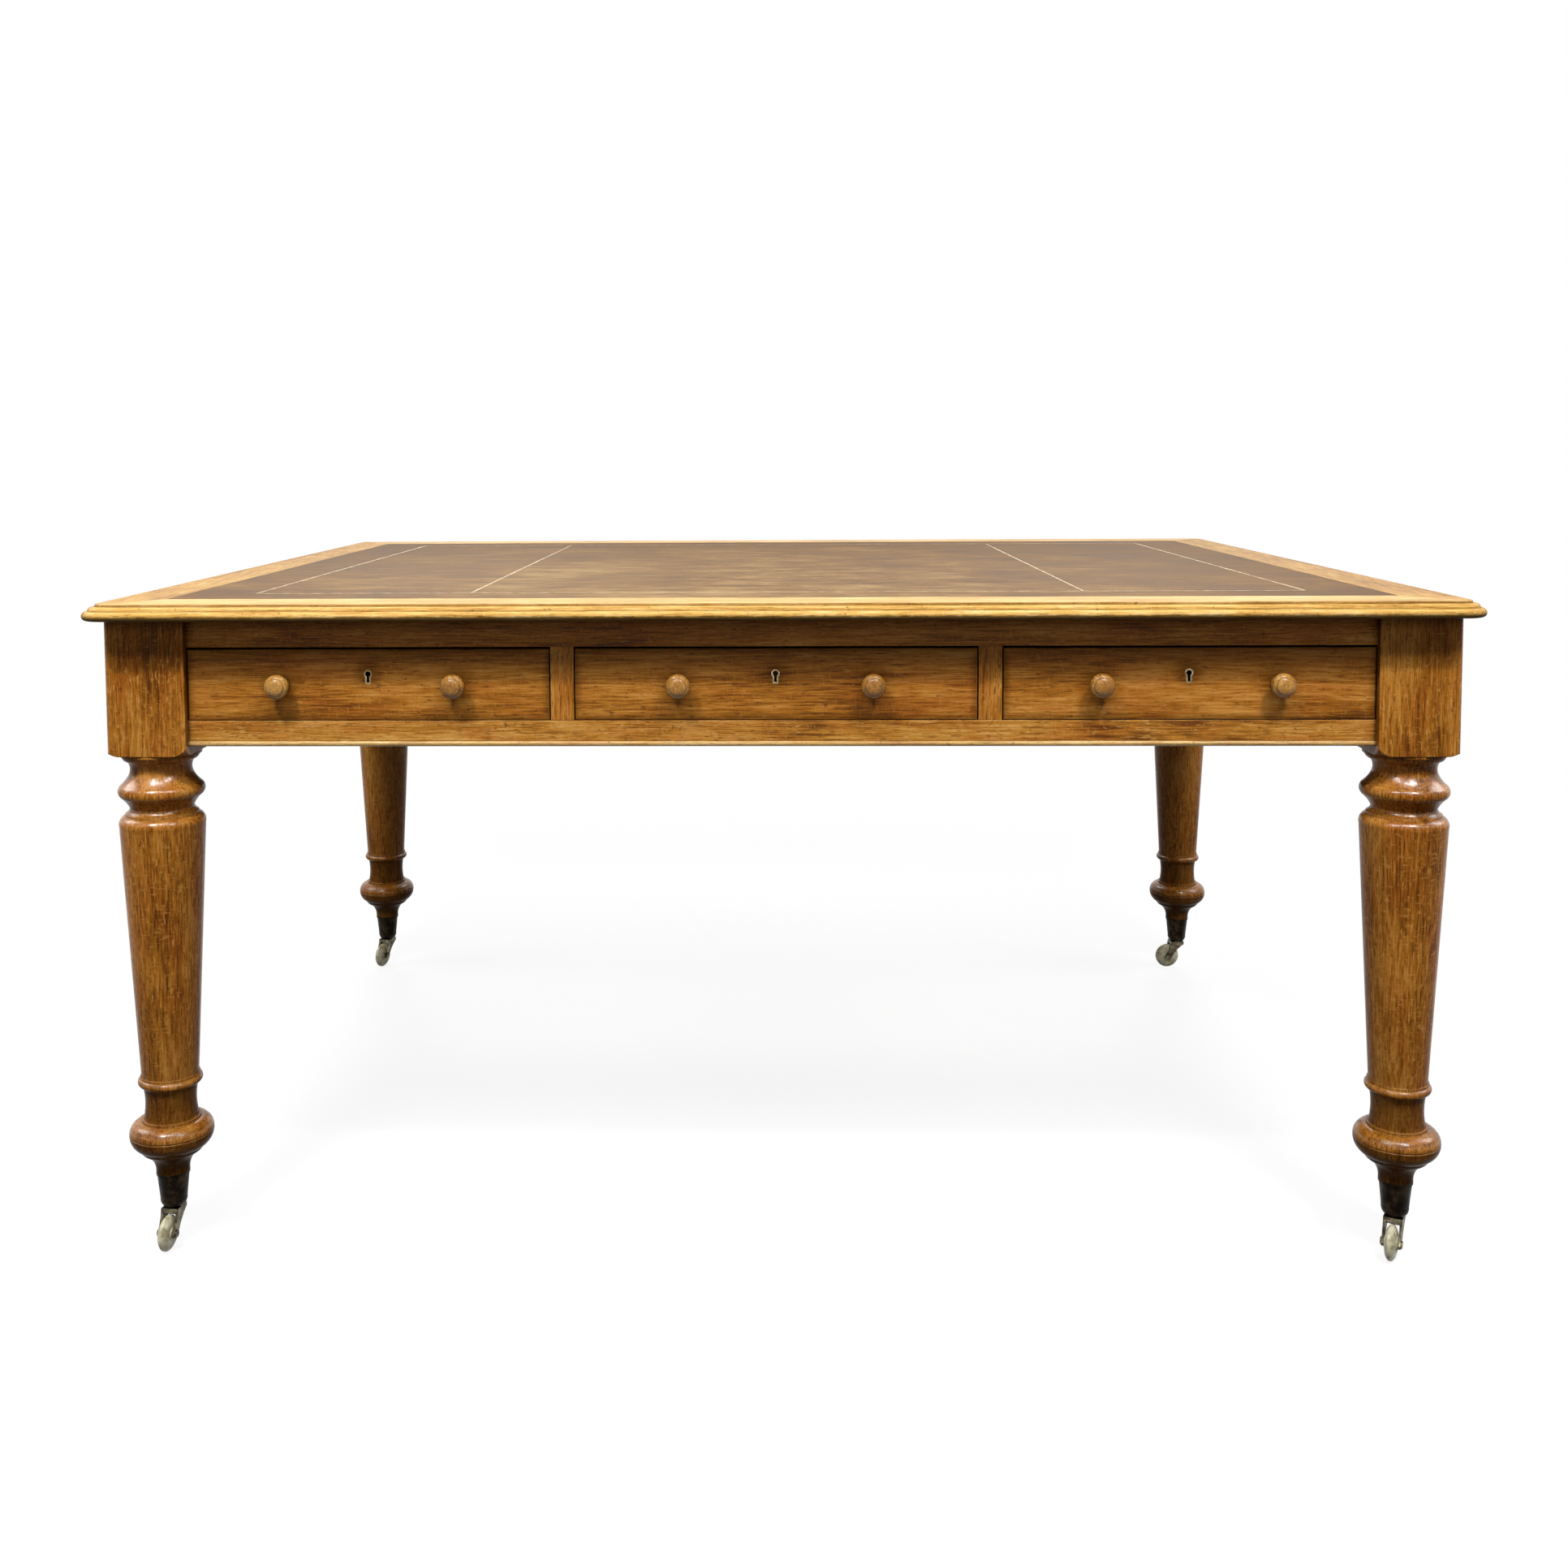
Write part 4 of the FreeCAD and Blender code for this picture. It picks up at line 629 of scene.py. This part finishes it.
def studio_floor():
    """Pale floor: it sends back little light, and the camera sees it white with the shadow of the desk."""
    bpy.ops.object.select_all(action="DESELECT")
    bpy.ops.mesh.primitive_plane_add(size=FLOOR_SIZE, location=(0, 0, 0))
    floor = bpy.context.object
    floor.name = "studio_floor"
    material = bpy.data.materials.new("pale_floor")
    material.use_nodes = True
    tree = material.node_tree
    tree.nodes.clear()
    matt = add(tree, "BsdfDiffuse", {"Color": linear(FLOOR_BOUNCE)})
    glow = add(tree, "Emission", {"Color": linear(WHITE), "Strength": FLOOR_GLOW})
    chalk = add(tree, "BsdfDiffuse", {"Color": linear(FLOOR_CHALK)})
    shaded = add(tree, "AddShader", {0: glow.outputs[0], 1: chalk.outputs[0]})
    plain = add(tree, "Emission", {"Color": linear(WHITE), "Strength": 1.0})
    distance = add(tree, "VectorMath", {0: add(tree, "TexCoord").outputs["Object"]}, operation="LENGTH")
    fade = {"From Min": SHADOW_FADE[0], "From Max": SHADOW_FADE[1]}
    far = add(tree, "MapRange", {"Value": distance.outputs["Value"], **fade})
    white = add(tree, "MixShader", {0: far.outputs[0], 1: shaded.outputs[0], 2: plain.outputs[0]})
    upper = add(tree, "MixShader", {0: sees_white(tree), 1: matt.outputs[0], 2: white.outputs[0]})
    # From below the floor is clear, so that the underside of the desk can be seen
    below = add(tree, "NewGeometry").outputs["Backfacing"]
    clear = add(tree, "BsdfTransparent")
    surface = add(tree, "MixShader", {0: below, 1: upper.outputs[0], 2: clear.outputs[0]})
    add(tree, "OutputMaterial", {"Surface": surface.outputs[0]})
    floor.data.materials.append(material)


def studio_world():
    """Even grey light from all round; the camera and reflections see white."""
    world = bpy.data.worlds.new("studio")
    bpy.context.scene.world = world
    world.use_nodes = True
    tree = world.node_tree
    tree.nodes.clear()
    strength = add(tree, "MapRange", {"Value": sees_white(tree), "To Min": ROOM_LIGHT, "To Max": 1.0})
    light = add(tree, "Background", {"Color": linear(WHITE), "Strength": strength.outputs[0]})
    add(tree, "OutputWorld", {"Surface": light.outputs[0]})


def soft_lamp(name, place, target, size, power, spread=180):
    """Softbox of a width and a height that looks at a point; a grid narrows its spread to so many degrees."""
    lamp = bpy.data.lights.new(name, "AREA")
    lamp.shape = "RECTANGLE"
    lamp.size, lamp.size_y = size
    lamp.spread = math.radians(spread)
    lamp.energy = power
    holder = bpy.data.objects.new(name, lamp)
    bpy.context.scene.collection.objects.link(holder)
    holder.location = place
    holder.rotation_euler = (Vector(target) - Vector(place)).to_track_quat("-Z", "Y").to_euler()


def studio_lamps():
    """Lamps before, behind and beside each half of the desk, a row for glints, a low fill and one above."""
    for side in (-1, 1):
        soft_lamp(
            "front_lamp_%d" % side, place=(side * 1.1, -2.1, 2.7), target=(side * 0.62, -0.6, 0.55),
            size=(0.5, 0.5), power=4.0, spread=56,
        )
        soft_lamp(
            "back_lamp_%d" % side, place=(side * 1.1, 2.3, 2.5), target=(side * 0.62, 0.6, 0.5),
            size=(0.8, 0.8), power=3.2, spread=56,
        )
        soft_lamp(
            "side_lamp_%d" % side, place=(side * 3.0, 0.2, 2.4), target=(side * 0.6, 0.3, 0.5),
            size=(1.4, 1.4), power=36,
        )
    for number, across in enumerate((-1.0, -0.4, 0.4, 1.0)):
        soft_lamp(
            "spot_lamp_%d" % number, place=(across, -1.8, 2.65), target=(across, -0.4, 0.5),
            size=(0.12, 0.12), power=10,
        )
    soft_lamp("fill_lamp", place=(0, -3.4, 1.4), target=(0, 0, 0.5), size=(2.4, 1.2), power=7)
    soft_lamp("over_lamp", place=(-0.3, -0.3, 2.9), target=(0, 0, 0.7), size=(1.6, 1.6), power=33)


def photo_camera():
    """Camera where the photograph was taken, with the same lens and framing."""
    lens = bpy.data.cameras.new("photo_camera")
    lens.sensor_fit = "HORIZONTAL"
    lens.sensor_width = SENSOR
    lens.lens = FOCAL_PIXELS / IMAGE_WIDTH * SENSOR
    lens.shift_x = 0.5 - CENTRE_PIXEL[0] / IMAGE_WIDTH
    lens.shift_y = CENTRE_PIXEL[1] / IMAGE_WIDTH - 0.5
    camera = bpy.data.objects.new("photo_camera", lens)
    bpy.context.scene.collection.objects.link(camera)
    camera.location = CAMERA_PLACE
    turns = ((CAMERA_LEFT, "Z"), (90 - CAMERA_DOWN, "X"), (CAMERA_ROLL, "Z"))
    aim = Matrix.Identity(4)
    for turn, axis in turns:
        aim = aim @ Matrix.Rotation(math.radians(turn), 4, axis)
    camera.rotation_euler = aim.to_euler()
    bpy.context.scene.camera = camera


paint_desk()
gilt_tooling()
studio_floor()
studio_world()
studio_lamps()
photo_camera()
bpy.context.scene.view_settings.view_transform = "Standard"
